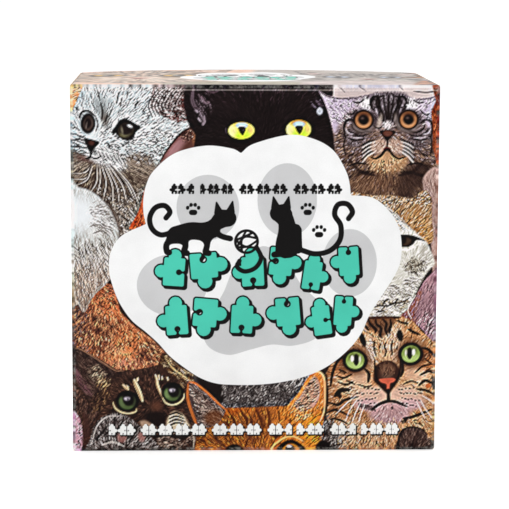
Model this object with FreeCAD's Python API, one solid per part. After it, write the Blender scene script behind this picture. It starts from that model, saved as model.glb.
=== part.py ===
"""Boxed jigsaw puzzle: a rigid lid-and-tray box that stands on its edge, with a bag of loose pieces inside.

Millimetres. X runs to the right of the lid's face, Y from the lid's face to the tray's back, Z is up.
The origin is on the ground, below the middle of the closed box. The lid comes off towards -Y.
"""

import FreeCAD, Part
import math
import os
import random

Vector = FreeCAD.Vector

# Box, outside
BOX_WIDTH = 95.0
BOX_HEIGHT = 96.0
BOX_DEPTH = 54.0
RIM_REVEAL = 0.6  # how far the tray's back stands out behind the lid's rim

# Sheet materials
BOARD = 1.2  # greyboard
PAPER = 0.15  # printed wrap
TAPE = 0.08  # corner tape, which is also the glue line between board and wrap
FILM = 0.08  # clear bag

# Fits
RUNNING_GAP = 0.35  # between the lid's turned-in wrap and the tray's wrap, on each side
LID_STOP_GAP = 0.42  # between the tray's rim and the inside of the lid's face
BAG_GAP = 0.4  # between the bag and the tray

# Wrap and tape
TURN_IN = 10.0  # how far the wrap goes down inside, past the rim
TAPE_LEG = 12.0

# Jigsaw
ROWS = 10
COLUMNS = 10
CELL = 15.5
CELL_JITTER = 0.4
PIECE_THICKNESS = 1.6
KNOB_RADIUS = 0.125  # shares of the length of the piece's side
NECK_FILLET = 0.06
KNOB_CENTRE = 0.15
KNOB_SHIFT = 0.05  # how far along its side a knob may wander
KNOB_GROWTH = 0.08  # how much a knob's size may vary
CUT_SEED = 11

# Heap of loose pieces
PIECES_PER_LAYER = 5
PLACE_SPACING = 14.85  # along X, from one piece to the next
PLACE_ZIGZAG = 10.7  # along Y, to either side of the middle
LAYER_GAP = 0.15
FIRST_LAYER_GAP = 0.4
HEAP_SEED = 5

# Bag
BAG_CORNER = 1.0
BAG_HEADROOM = 1.2
SEAL_WIDTH = 70.0
SEAL_HEIGHT = 8.0
SEAL_THICKNESS = 0.3

# Derived places; a half size is a (half width, half height) pair
LID_HALF = (BOX_WIDTH / 2, BOX_HEIGHT / 2)
LID_FRONT = -BOX_DEPTH / 2
TRAY_BACK = BOX_DEPTH / 2
LID_RIM = TRAY_BACK - RIM_REVEAL
SKIN = PAPER + TAPE  # from the outside of a wrap to its board
WALL = SKIN + BOARD + PAPER  # from the outside of a wrap to the inside of its turn-in
TRAY_HALF = tuple(half - WALL - RUNNING_GAP for half in LID_HALF)
TRAY_INSIDE = tuple(half - WALL for half in TRAY_HALF)
TRAY_RIM = LID_FRONT + SKIN + BOARD + LID_STOP_GAP
TRAY_FLOOR = TRAY_BACK - SKIN - BOARD
LAYER_PITCH = PIECE_THICKNESS + LAYER_GAP
LAYERS = math.ceil(ROWS * COLUMNS / PIECES_PER_LAYER)


def block(x, y, z):
    """A box from its two ends on each axis, in either order."""
    size = Vector(abs(x[1] - x[0]), abs(y[1] - y[0]), abs(z[1] - z[0]))
    return Part.makeBox(size.x, size.y, size.z, Vector(min(x), min(y), min(z)))


def about_middle(half, along):
    """A box of that (half width, half height), centred on the Y axis, between two places along it."""
    return block((-half[0], half[0]), along, (-half[1], half[1]))


def inset(half, amount):
    return (half[0] - amount, half[1] - amount)


def hexahedron(outer, inner):
    """A closed solid between two four-cornered faces whose corners match."""
    faces = [outer, inner]
    for i in range(4):
        j = (i + 1) % 4
        faces.append([outer[i], outer[j], inner[j], inner[i]])
    polygons = [Part.Face(Part.makePolygon(face + [face[0]])) for face in faces]
    solid = Part.Solid(Part.makeShell(polygons))
    return solid if solid.Volume > 0 else solid.reversed()


def lift(shape):
    """Moves a shape built about the box's own middle up to where the box stands on the ground."""
    shape.translate(Vector(0, 0, BOX_HEIGHT / 2))
    return shape


# ---------------------------------------------------------------- board


CORNERS = ((-1, 1), (1, 1), (1, -1), (-1, -1))  # signs of X and Z, clockwise from the top left
SIDES = ("top", "right", "bottom", "left")  # each from one corner to the next


def rectangle(half, y):
    """The four corners of a rectangle across Y."""
    return [Vector(sx * half[0], y, sz * half[1]) for sx, sz in CORNERS]


def board_panels(half, end, rim):
    """The five panels of a board blank, folded along V-grooves: one end panel and four walls.

    half is the board's outer half size, end the outside of its end panel, and rim the edge of its walls.
    """
    inner_half = inset(half, BOARD)
    inner_end = end + math.copysign(BOARD, rim - end)
    outer_fold = rectangle(half, end)
    inner_fold = rectangle(inner_half, inner_end)
    outer_rim = rectangle(half, rim)
    inner_rim = rectangle(inner_half, rim)
    walls = {}
    for i, side in enumerate(SIDES):
        j = (i + 1) % len(SIDES)
        walls[side] = hexahedron(
            [outer_fold[i], outer_fold[j], outer_rim[j], outer_rim[i]],
            [inner_fold[i], inner_fold[j], inner_rim[j], inner_rim[i]],
        )
    return hexahedron(outer_fold, inner_fold), walls


def corner_tapes(half, end, rim):
    """The four paper tapes that close the board's corners, each folded round one corner."""
    tapes = []
    for sx, sz in CORNERS:
        outer = (sx * (half[0] + TAPE), sz * (half[1] + TAPE))
        tips = (outer[0] - sx * TAPE_LEG, outer[1] - sz * TAPE_LEG)
        folded = block((tips[0], outer[0]), (end, rim), (tips[1], outer[1]))
        board = block((tips[0], sx * half[0]), (end, rim), (tips[1], sz * half[1]))
        tapes.append(folded.cut(board))
    return Part.makeCompound(tapes)


# ---------------------------------------------------------------- wrap


def tube(half, thickness, along):
    return about_middle(half, along).cut(about_middle(inset(half, thickness), along))


def wrap_sheet(half, end, rim):
    """A printed sheet glued over a board: end panel, four flaps, and their turn-ins inside the rim.

    half, end and rim are the outside of the sheet.
    """
    inward = math.copysign(1, rim - end)
    inside_end = end + inward * PAPER
    panel = about_middle(half, (end, inside_end))
    flaps = tube(half, PAPER, (inside_end, rim))
    rim_fold = tube(inset(half, PAPER), TAPE + BOARD, (rim - inward * PAPER, rim))
    turn_ins = tube(inset(half, SKIN + BOARD), PAPER, (rim - inward * TURN_IN, rim))
    return panel.fuse([flaps, rim_fold, turn_ins]).removeSplitter()


def split_at_foot(sheet):
    """Parts the flap that the box stands on from the rest of the lid's wrap."""
    beyond = BOX_WIDTH
    foot_zone = block((-beyond, beyond), (-beyond, beyond), (-beyond, PAPER - LID_HALF[1]))
    return sheet.cut(foot_zone), sheet.common(foot_zone)


# ---------------------------------------------------------------- jigsaw


def cut_corners(rng):
    """The grid's corners, wandering a little inside the picture and straight along its border."""
    corners = {}
    for i in range(COLUMNS + 1):
        for j in range(ROWS + 1):
            dx = rng.uniform(-CELL_JITTER, CELL_JITTER) if 0 < i < COLUMNS else 0
            dy = rng.uniform(-CELL_JITTER, CELL_JITTER) if 0 < j < ROWS else 0
            corners[i, j] = Vector(i * CELL + dx, j * CELL + dy, 0)
    return corners


def knobbed_side(start, finish, rng):
    """The cut between two neighbours: straight, a fillet, the round knob, a fillet and straight again."""
    side = finish - start
    length = side.Length
    forward = side / length
    normal = Vector(-forward.y, forward.x, 0) * rng.choice((-1, 1))
    growth = 1 + rng.uniform(-KNOB_GROWTH, KNOB_GROWTH)
    knob = KNOB_RADIUS * length * growth
    fillet = NECK_FILLET * length
    height = KNOB_CENTRE * length * growth
    middle = length * (0.5 + rng.uniform(-KNOB_SHIFT, KNOB_SHIFT))
    reach = math.sqrt((knob + fillet) ** 2 - (height - fillet) ** 2)
    lean = math.atan2(height - fillet, reach)
    half_way = (lean - math.pi / 2) / 2

    def at(along, away):
        return start + forward * (middle + along) + normal * away

    def neck(direction):
        """One fillet: where it leaves the straight side, its middle, and where it meets the knob."""
        return (
            at(direction * reach, 0),
            at(direction * (reach - fillet * math.cos(half_way)), fillet * (1 + math.sin(half_way))),
            at(direction * (reach - fillet * math.cos(lean)), fillet * (1 + math.sin(lean))),
        )

    foot_in, bend_in, knob_in = neck(-1)
    foot_out, bend_out, knob_out = neck(1)
    return [
        Part.makeLine(start, foot_in),
        Part.Arc(foot_in, bend_in, knob_in).toShape(),
        Part.Arc(knob_in, at(0, height + knob), knob_out).toShape(),
        Part.Arc(knob_out, bend_out, foot_out).toShape(),
        Part.makeLine(foot_out, finish),
    ]


def side_between(start, finish, border, rng):
    """A straight side along the picture's border, or a knobbed cut inside it."""
    return [Part.makeLine(start, finish)] if border else knobbed_side(start, finish, rng)


def cut_sides(corners, rng):
    """Every side in the picture, keyed by its first corner and its direction. Neighbours share one."""
    sides = {}
    for (i, j), corner in corners.items():
        if i < COLUMNS:
            sides[i, j, "across"] = side_between(corner, corners[i + 1, j], j in (0, ROWS), rng)
        if j < ROWS:
            sides[i, j, "up"] = side_between(corner, corners[i, j + 1], i in (0, COLUMNS), rng)
    return sides


def jigsaw_piece(i, j, sides):
    """One piece, lying on Z = 0 with the middle of its outline at the origin."""
    edges = sides[i, j, "across"] + sides[i + 1, j, "up"] + sides[i, j + 1, "across"] + sides[i, j, "up"]
    outline = Part.Wire(Part.__sortEdges__([edge.copy() for edge in edges]))
    piece = Part.Face(outline).extrude(Vector(0, 0, PIECE_THICKNESS))
    piece.translate(Vector(-piece.BoundBox.Center.x, -piece.BoundBox.Center.y, 0))
    return piece


def bag_bottom():
    return -TRAY_INSIDE[1] + BAG_GAP


def heap_places():
    """Where loose pieces lie: in layers, each a zigzag that leaves every piece room to turn."""
    lowest = bag_bottom() + FILM + FIRST_LAYER_GAP
    bag_middle = (TRAY_RIM + TRAY_FLOOR) / 2
    places = []
    for layer in range(LAYERS):
        for k in range(PIECES_PER_LAYER):
            side = 1 if (k + layer) % 2 else -1
            x = (k - (PIECES_PER_LAYER - 1) / 2) * PLACE_SPACING
            places.append(Vector(x, bag_middle + side * PLACE_ZIGZAG, lowest + layer * LAYER_PITCH))
    return places


def jigsaw_rows():
    """The picture's pieces, row by row, each tossed into its own place in the heap."""
    cut_rng = random.Random(CUT_SEED)
    sides = cut_sides(cut_corners(cut_rng), cut_rng)
    heap_rng = random.Random(HEAP_SEED)
    places = heap_places()
    heap_rng.shuffle(places)
    rows = []
    for j in range(ROWS):
        pieces = []
        for i in range(COLUMNS):
            piece = jigsaw_piece(i, j, sides)
            if heap_rng.random() < 0.5:
                piece.rotate(Vector(0, 0, PIECE_THICKNESS / 2), Vector(1, 0, 0), 180)
            piece.rotate(Vector(0, 0, 0), Vector(0, 0, 1), heap_rng.uniform(0, 360))
            piece.translate(places[j * COLUMNS + i])
            pieces.append(piece)
        rows.append(Part.makeCompound(pieces))
    return rows


# ---------------------------------------------------------------- bag


def clear_bag():
    """The heat-sealed film bag: a hollow pillow round the heap, with its seal standing up as a fin."""
    half_width = TRAY_INSIDE[0] - BAG_GAP
    ends = (TRAY_RIM + BAG_GAP, TRAY_FLOOR - BAG_GAP)
    bottom = bag_bottom()
    top = bottom + FIRST_LAYER_GAP + LAYERS * LAYER_PITCH + BAG_HEADROOM
    outside = block((-half_width, half_width), ends, (bottom, top))
    outside = outside.makeFillet(BAG_CORNER, outside.Edges)
    inside = block(
        (FILM - half_width, half_width - FILM),
        (ends[0] + FILM, ends[1] - FILM),
        (bottom + FILM, top - FILM),
    )
    inside = inside.makeFillet(BAG_CORNER - FILM, inside.Edges)
    middle = sum(ends) / 2
    seal = block(
        (-SEAL_WIDTH / 2, SEAL_WIDTH / 2),
        (middle - SEAL_THICKNESS / 2, middle + SEAL_THICKNESS / 2),
        (top - FILM / 2, top + SEAL_HEIGHT),
    )
    return outside.fuse(seal).cut(inside)


# ---------------------------------------------------------------- assembly


def covered_box(name, end_name, half, end, rim):
    """A board tray with its corner tapes and wrap. half, end and rim are the outside of the wrap."""
    inward = math.copysign(1, rim - end)
    board_half = inset(half, SKIN)
    board_end = end + inward * SKIN
    board_rim = rim - inward * PAPER
    end_panel, walls = board_panels(board_half, board_end, board_rim)
    nodes = {f"{name}_{end_name}_board": end_panel}
    for side, wall in walls.items():
        nodes[f"{name}_{side}_board"] = wall
    nodes[f"{name}_corner_tapes"] = corner_tapes(board_half, board_end, board_rim)
    nodes[f"{name}_wrap"] = wrap_sheet(half, end, rim)
    return nodes


def assembly():
    nodes = covered_box("lid", "face", LID_HALF, LID_FRONT, LID_RIM)
    nodes["lid_wrap"], nodes["lid_wrap_foot_flap"] = split_at_foot(nodes["lid_wrap"])
    nodes.update(covered_box("tray", "back", TRAY_HALF, TRAY_BACK, TRAY_RIM))
    nodes["clear_bag"] = clear_bag()
    for number, row in enumerate(jigsaw_rows(), start=1):
        nodes[f"puzzle_row_{number:02d}"] = row
    return {name: lift(shape) for name, shape in nodes.items()}


os.makedirs("parts", exist_ok=True)
for node, shape in assembly().items():
    shape.exportStep(f"parts/{node}.step")
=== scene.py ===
import copy
import math

import bpy
import numpy as np
from mathutils import Matrix, Vector


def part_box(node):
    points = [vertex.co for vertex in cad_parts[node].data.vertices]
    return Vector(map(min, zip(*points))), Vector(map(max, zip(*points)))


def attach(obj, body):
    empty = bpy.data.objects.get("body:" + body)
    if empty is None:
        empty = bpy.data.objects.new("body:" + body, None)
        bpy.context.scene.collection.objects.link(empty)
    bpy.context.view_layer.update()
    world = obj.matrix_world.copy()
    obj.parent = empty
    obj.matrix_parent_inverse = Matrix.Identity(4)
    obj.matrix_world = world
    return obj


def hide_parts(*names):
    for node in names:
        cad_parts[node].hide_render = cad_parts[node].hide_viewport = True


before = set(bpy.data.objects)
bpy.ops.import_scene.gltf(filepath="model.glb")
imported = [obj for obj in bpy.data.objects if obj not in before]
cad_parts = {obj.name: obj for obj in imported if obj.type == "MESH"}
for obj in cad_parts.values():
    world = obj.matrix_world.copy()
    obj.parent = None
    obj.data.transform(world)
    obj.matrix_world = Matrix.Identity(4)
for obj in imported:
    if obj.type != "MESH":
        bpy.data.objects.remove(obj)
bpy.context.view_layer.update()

# Lengths are in millimetres in this script, and turn into metres when a mesh is made.
MM = 0.001
CELL = 0.25  # the printed face's grid, about one pixel of the camera's picture
SKIRT_CELL = 0.5  # the grid of the printed sides
FOLD = 0.55  # radius of the folds between a printed panel and its sides
CORNER = 0.75  # radius of the wrap round the corners of the box
RIM_ROUND = 0.3  # radius of the paper where it turns over a free rim
PAPER = 0.15
BOARD = 1.2
GLUE = 0.08
TURN_IN = 10.0  # how deep the wrap is turned into the box
CREASE = 1.4  # where the edge of the face board shows through the wrap
LID_BOWS = (0.9, 0.6, 0.0, 0.6)  # how far the lid's top, right, foot and left sides bow outwards
FACE_BLEED = 1.7  # how far the face's picture runs over the fold onto the sides
FAR = 6.0  # a distance field's value away from its shapes

# The studio and its camera, fitted to the photograph
CAMERA_LENS = 145.0
CAMERA_PITCH, CAMERA_YAW, CAMERA_ROLL = 8.32, 1.94, -0.23  # degrees
CAMERA_OFFSET = (-0.8, -0.1, -558.4)  # the object's middle, seen from the camera
WORLD_FRONT, WORLD_BACK = 0.3, 1.0  # strength of the sky in front of the box and behind it
FLOOR_REACH = 15000  # half the width of the floor
FLOOR_GLOW = 0.45
MIDDLE = (0, 0, 0.048)  # of the closed box, in metres
LIGHTS = (  # name, place in metres, size, power
    ("key", (-0.45, -0.85, 0.75), (0.7, 0.7), 3.1),
    ("fill", (0.75, -0.7, 0.35), (0.6, 0.6), 1.4),
    ("top", (0.05, 0.25, 0.9), (0.9, 0.9), 5.2),
)

# The print
INK = "15100e"  # the darkest paint of the cats
BLACK = "0b0909"
TEAL = "4bc6ae"
# the crisp marks, from the lowest up
MARKS = (("badge", "f1f1f1"), ("pads", "c9c9ca"), ("shade", BLACK), ("teal", TEAL), ("white", "f7f7f5"),
    ("ink", BLACK))
TRAY_TEAL, TRAY_TEAL_PALE, TRAY_TEAL_DARK = "45b7a2", "4fc4ae", "3aa893"
DEEP_BROWN = "2a1d18"  # the ground that the cats are painted on
BASE_SEED = 3
FACE_SPAN = ((-47.5, 47.5), (0, 96))  # the lid's face, from left to right and from foot to top
CRISPNESS = ((5, 0.3), (2, 0.3), (1, 1.1))  # (reach in cells, amount) of each sharpening of the face
INK_DEPTH = (0.035, 0.052, 0.05)  # how much darker the face prints than its paints
SMALL_BADGE = 0.49  # the badge on the sides, as a share of the one on the face
BADGE_MIDDLE = 50.4  # height of its middle on the face
BADGE_REACH = (42, 36)  # half the width and height of the area it lies in
SIDE_TURNS = (0, 90, 180, -90)  # turns the cats on each side so that they stand up with the box
CAT_PITCH = (25, 23)  # room for each small cat, across and up
# base, dark and pale tones of the small cats' coats
COATS = (
    ("d9a87c", "a87a58", "efe0cc"),
    ("8f8a90", "5d5556", "c9c0c4"),
    ("2a211e", "4c3a33", "171210"),
    ("b5713e", "7a4a2a", "e0a060"),
    ("cdbfb4", "a28c7c", "f0e8de"),
    ("6d4a3c", "3a2620", "a87858"),
)
IRISES = ("9fb06a", "c99a3c", "8fae6c", "dfe27a")
# the two cats of the top: place from its middle, size, coat, iris and tilt
TOP_CATS = (
    (-30, 6, 2.5, ("eccab2", "cfa486", "faeadc"), "c99a3c", -6),
    (31, 2, 1.9, ("b5aca6", "9a918b", "d0c7c1"), "b4c2dc", 3),
)
EVERYWHERE = 1.0  # a mask that leaves nothing out

# The picture of the finished puzzle, on the tray's back
PICTURE_SCALE = 0.62
PICTURE_MIDDLE = 55.0
PICTURE_HALF = 46  # how much of the face it shows, to each side of the middle
PICTURE_BORDER = 1.6

# The bag, above its foot
BAG_SHOULDER = 36.6  # where it starts to close
BAG_SEAL = 8.0  # height of the flat seal
BAG_SEAL_HALF = 34.6


def colour(text):
    """A colour from its six hex digits."""
    return np.array([int(text[i : i + 2], 16) / 255 for i in (0, 2, 4)])


def spline(points, closed=False, steps=8):
    """A Catmull-Rom curve through given points."""
    p = np.array(points, float)
    if closed:
        p = np.vstack([p[-1], p, p[0], p[1]])
    else:
        p = np.vstack([2 * p[0] - p[1], p, 2 * p[-1] - p[-2]])
    t = np.linspace(0, 1, steps, endpoint=False)[:, None]
    out = []
    for a, b, c, d in zip(p[:-3], p[1:-2], p[2:-1], p[3:]):
        out.append(0.5 * (2 * b + (c - a) * t + (2 * a - 5 * b + 4 * c - d) * t**2 + (3 * b - a - 3 * c + d)
            * t**3))
    curve = np.vstack(out)
    return curve if closed else np.vstack([curve, p[-2]])


def ellipse(centre, radii, steps=48):
    """Points round an ellipse."""
    turn = np.linspace(0, 2 * math.pi, steps, endpoint=False)
    return np.stack([centre[0] + radii[0] * np.cos(turn), centre[1] + radii[1] * np.sin(turn)], 1)


def smooth(x):
    """An S-shaped step from 0 to 1."""
    x = np.clip(x, 0, 1)
    return x * x * (3 - 2 * x)


class Picture:
    """A picture on a flat panel, in millimetres: u to the right and v up."""

    def __init__(self, u_span, v_span, cell, ground, seed):
        self.cell = cell
        self.u0, self.v0 = u_span[0], v_span[0]
        self.nu = int(round((u_span[1] - u_span[0]) / cell)) + 1
        self.nv = int(round((v_span[1] - v_span[0]) / cell)) + 1
        self.u, self.v = np.meshgrid(self.u0 + cell * np.arange(self.nu),
            self.v0 + cell * np.arange(self.nv))
        self.rgb = np.empty((self.nv, self.nu, 3))
        self.rgb[:] = colour(ground)
        self.rng = np.random.default_rng(seed)

    # ---- areas

    def window(self, points, margin):
        """The part of the picture round some points."""
        low, high = points.min(0) - margin, points.max(0) + margin
        i0, i1 = (int(np.clip((x - self.u0) / self.cell, 0, self.nu))
            for x in (low[0], high[0] + self.cell))
        j0, j1 = (int(np.clip((x - self.v0) / self.cell, 0, self.nv))
            for x in (low[1], high[1] + self.cell))
        return slice(j0, j1), slice(i0, i1)

    def distance(self, points, closed, margin):
        """(window, distance in it to a line through the points, negative inside a closed one)."""
        win = self.window(points, margin)
        u, v = self.u[win], self.v[win]
        ends = np.roll(points, -1, axis=0) if closed else points[1:]
        starts = points if closed else points[:-1]
        best = np.full(u.shape, 1e9)
        inside = np.zeros(u.shape, bool)
        for (au, av), (bu, bv) in zip(starts, ends):
            du, dv = bu - au, bv - av
            t = np.clip(((u - au) * du + (v - av) * dv) / max(du * du + dv * dv, 1e-9), 0, 1)
            best = np.minimum(best, (u - au - t * du) ** 2 + (v - av - t * dv) ** 2)
            if closed and dv:
                inside ^= ((av > v) != (bv > v)) & (u < au + (v - av) * du / dv)
        best = np.sqrt(best)
        return win, np.where(inside, -best, best)

    def area(self, points, soft=0.3, rounded=True):
        """How much of each cell lies inside an outline, as a whole-picture mask."""
        outline = spline(points, closed=True) if rounded else np.array(points, float)
        win, d = self.distance(outline, True, soft)
        mask = np.zeros(self.u.shape)
        mask[win] = smooth(0.5 - d / (2 * soft))
        return mask

    def blob(self, centre, radii, tilt=0.0, soft=0.3):
        """How much of each cell lies inside an oval."""
        c, s = math.cos(math.radians(tilt)), math.sin(math.radians(tilt))
        reach = max(radii) * (1 + soft / min(radii))
        win = self.window(np.array([centre]), reach)
        x, y = self.u[win] - centre[0], self.v[win] - centre[1]
        r = np.hypot((x * c + y * s) / radii[0], (y * c - x * s) / radii[1])
        mask = np.zeros(self.u.shape)
        mask[win] = smooth(0.5 - (r - 1) * min(radii) / (2 * soft))
        return mask

    def above(self, v, soft):
        """A mask that grows from 0 at a height to 1 that far over it."""
        return smooth((self.v - v) / soft)

    def below(self, v, soft):
        """A mask that grows from 0 at a height to 1 that far under it."""
        return smooth((v - self.v) / soft)

    def clouds(self, scale):
        """Smooth noise from 0 to 1, with patches about scale across."""
        n = [int(math.ceil(k * self.cell / scale)) + 3 for k in (self.nv, self.nu)]
        grid = self.rng.random(n)
        y, x = (self.v - self.v0) / scale, (self.u - self.u0) / scale
        j, i = y.astype(int), x.astype(int)
        fy, fx = smooth(y - j), smooth(x - i)
        low = grid[j, i] * (1 - fx) + grid[j, i + 1] * fx
        high = grid[j + 1, i] * (1 - fx) + grid[j + 1, i + 1] * fx
        return low * (1 - fy) + high * fy

    def halved(self):
        """The same picture on a grid of twice the cell, averaged, so that its marks have soft edges."""
        out = copy.copy(self)
        rows, columns = self.nv // 2, self.nu // 2
        out.cell, out.nv, out.nu = 2 * self.cell, rows, columns

        def pooled(grid):
            grid = grid[: 2 * rows, : 2 * columns]
            return (grid[::2, ::2] + grid[1::2, ::2] + grid[::2, 1::2] + grid[1::2, 1::2]) / 4

        out.u, out.v, out.rgb = pooled(self.u), pooled(self.v), pooled(self.rgb)
        out.u0, out.v0 = out.u[0, 0], out.v[0, 0]
        return out

    def crisp(self, amount, reach=1):
        """Stands each mark out against what lies reach cells round it, less so in the darks."""
        steps = ((reach, 0), (-reach, 0), (reach, 1), (-reach, 1))
        soft = sum(np.roll(self.rgb, step, axis) for step, axis in steps) / 4
        bright = np.clip(2.5 * soft.mean(-1, keepdims=True), 0.3, 1)
        self.rgb = np.clip(self.rgb + amount * bright * (self.rgb - soft), 0, 1)

    # ---- marks

    def tint(self, mask, paint, strength=1.0):
        """Lays paint over a mask."""
        paint = colour(paint) if isinstance(paint, str) else paint
        a = (mask * strength)[..., None]
        self.rgb = self.rgb * (1 - a) + paint * a

    def dabs(self, within, *rows):
        """Oval dabs inside a mask, each (u, v, two radii, tilt, softness, paint and a strength if not 1)."""
        for u, v, across, up, tilt, soft, paint, *strength in rows:
            self.tint(within * self.blob((u, v), (across, up), tilt, soft), paint, *strength)

    def line(self, points, paint, width, strength=1.0, taper=True, rounded=True, soft=0.15):
        """A drawn line, thinning to its ends."""
        curve = spline(points) if rounded and len(points) > 2 else np.array(points, float)
        win = self.window(curve, width + soft)
        u, v = self.u[win], self.v[win]
        cover = np.zeros(u.shape)
        along = np.linspace(0, 1, len(curve))
        for k in range(len(curve) - 1):
            (au, av), (bu, bv) = curve[k], curve[k + 1]
            du, dv = bu - au, bv - av
            t = np.clip(((u - au) * du + (v - av) * dv) / max(du * du + dv * dv, 1e-9), 0, 1)
            d = np.hypot(u - au - t * du, v - av - t * dv)
            s = along[k] + (along[k + 1] - along[k]) * t
            w = width / 2 * (np.sqrt(np.clip(4 * s * (1 - s), 0, 1)) * 0.8 + 0.2 if taper else 1.0)
            cover = np.maximum(cover, smooth(0.5 - (d - w) / (2 * soft)))
        a = (cover * strength)[..., None]
        self.rgb[win] = self.rgb[win] * (1 - a) + colour(paint) * a

    def ground(self, mask, paint, patches, pale, share):
        """A first coat over a mask, and patches of a second one, each about that far across."""
        self.tint(mask, paint)
        self.tint(mask * self.clouds(patches), pale, share)

    def lines(self, *rows):
        """Drawn lines, each (points, paint, width and a strength if not 1)."""
        for row in rows:
            self.line(*row)

    def patch(self, points, soft, paint, strength=1.0):
        """A painted area with a rounded outline."""
        self.tint(self.area(points, soft), paint, strength)

    def fur(self, mask, flow, tones, density, length, strength=0.7, sway=0.25, wide=0.5, bend=0.0):
        """Hairs drawn over a mask. density is hairs per square millimetre, and flow gives their heading."""
        weights = mask.ravel()
        total = weights.sum()
        if total <= 0:
            return
        count = int(density * total * self.cell**2)
        if not count:
            return
        where = self.rng.choice(weights.size, count, p=weights / total)
        j, i = np.divmod(where, self.nu)
        u = self.u0 + (i + self.rng.random(count) - 0.5) * self.cell
        v = self.v0 + (j + self.rng.random(count) - 0.5) * self.cell
        heading = flow(u, v) + self.rng.normal(0, sway, count)
        reach = length * self.rng.uniform(0.5, 1.4, count)
        palette = np.array([colour(t) for t in tones])
        paint = palette[self.rng.integers(0, len(tones), count)]
        alpha = strength * self.rng.uniform(0.55, 1.0, count)
        thick = self.rng.random(count) < wide
        turn = bend * self.rng.choice((-1, 1), count)
        steps = max(2, int(length * 1.4 / self.cell * 1.3))
        for k in range(steps):
            s = k / (steps - 1)
            uu = u + np.cos(heading + turn * s) * reach * s
            vv = v + np.sin(heading + turn * s) * reach * s
            for off in (0, 1):
                chosen = thick & (s > 0.1) & (s < 0.7) if off else np.ones(count, bool)
                x = (uu - off * np.sin(heading) * self.cell - self.u0) / self.cell
                y = (vv + off * np.cos(heading) * self.cell - self.v0) / self.cell
                ii, jj = np.round(x).astype(int), np.round(y).astype(int)
                ok = chosen & (ii >= 0) & (ii < self.nu) & (jj >= 0) & (jj < self.nv)
                ii, jj = ii[ok], jj[ok]
                a = (alpha[ok] * (1 - 0.5 * s) * mask[jj, ii])[:, None]
                self.rgb[jj, ii] = self.rgb[jj, ii] * (1 - a) + paint[ok] * a


def away(cu, cv, twist=0.0):
    """Hair that grows away from a point."""
    return lambda u, v: np.arctan2(v - cv, u - cu) + twist


def along(degrees):
    """Hair that all grows one way."""
    return lambda u, v: np.full(np.shape(u), math.radians(degrees))


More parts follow.
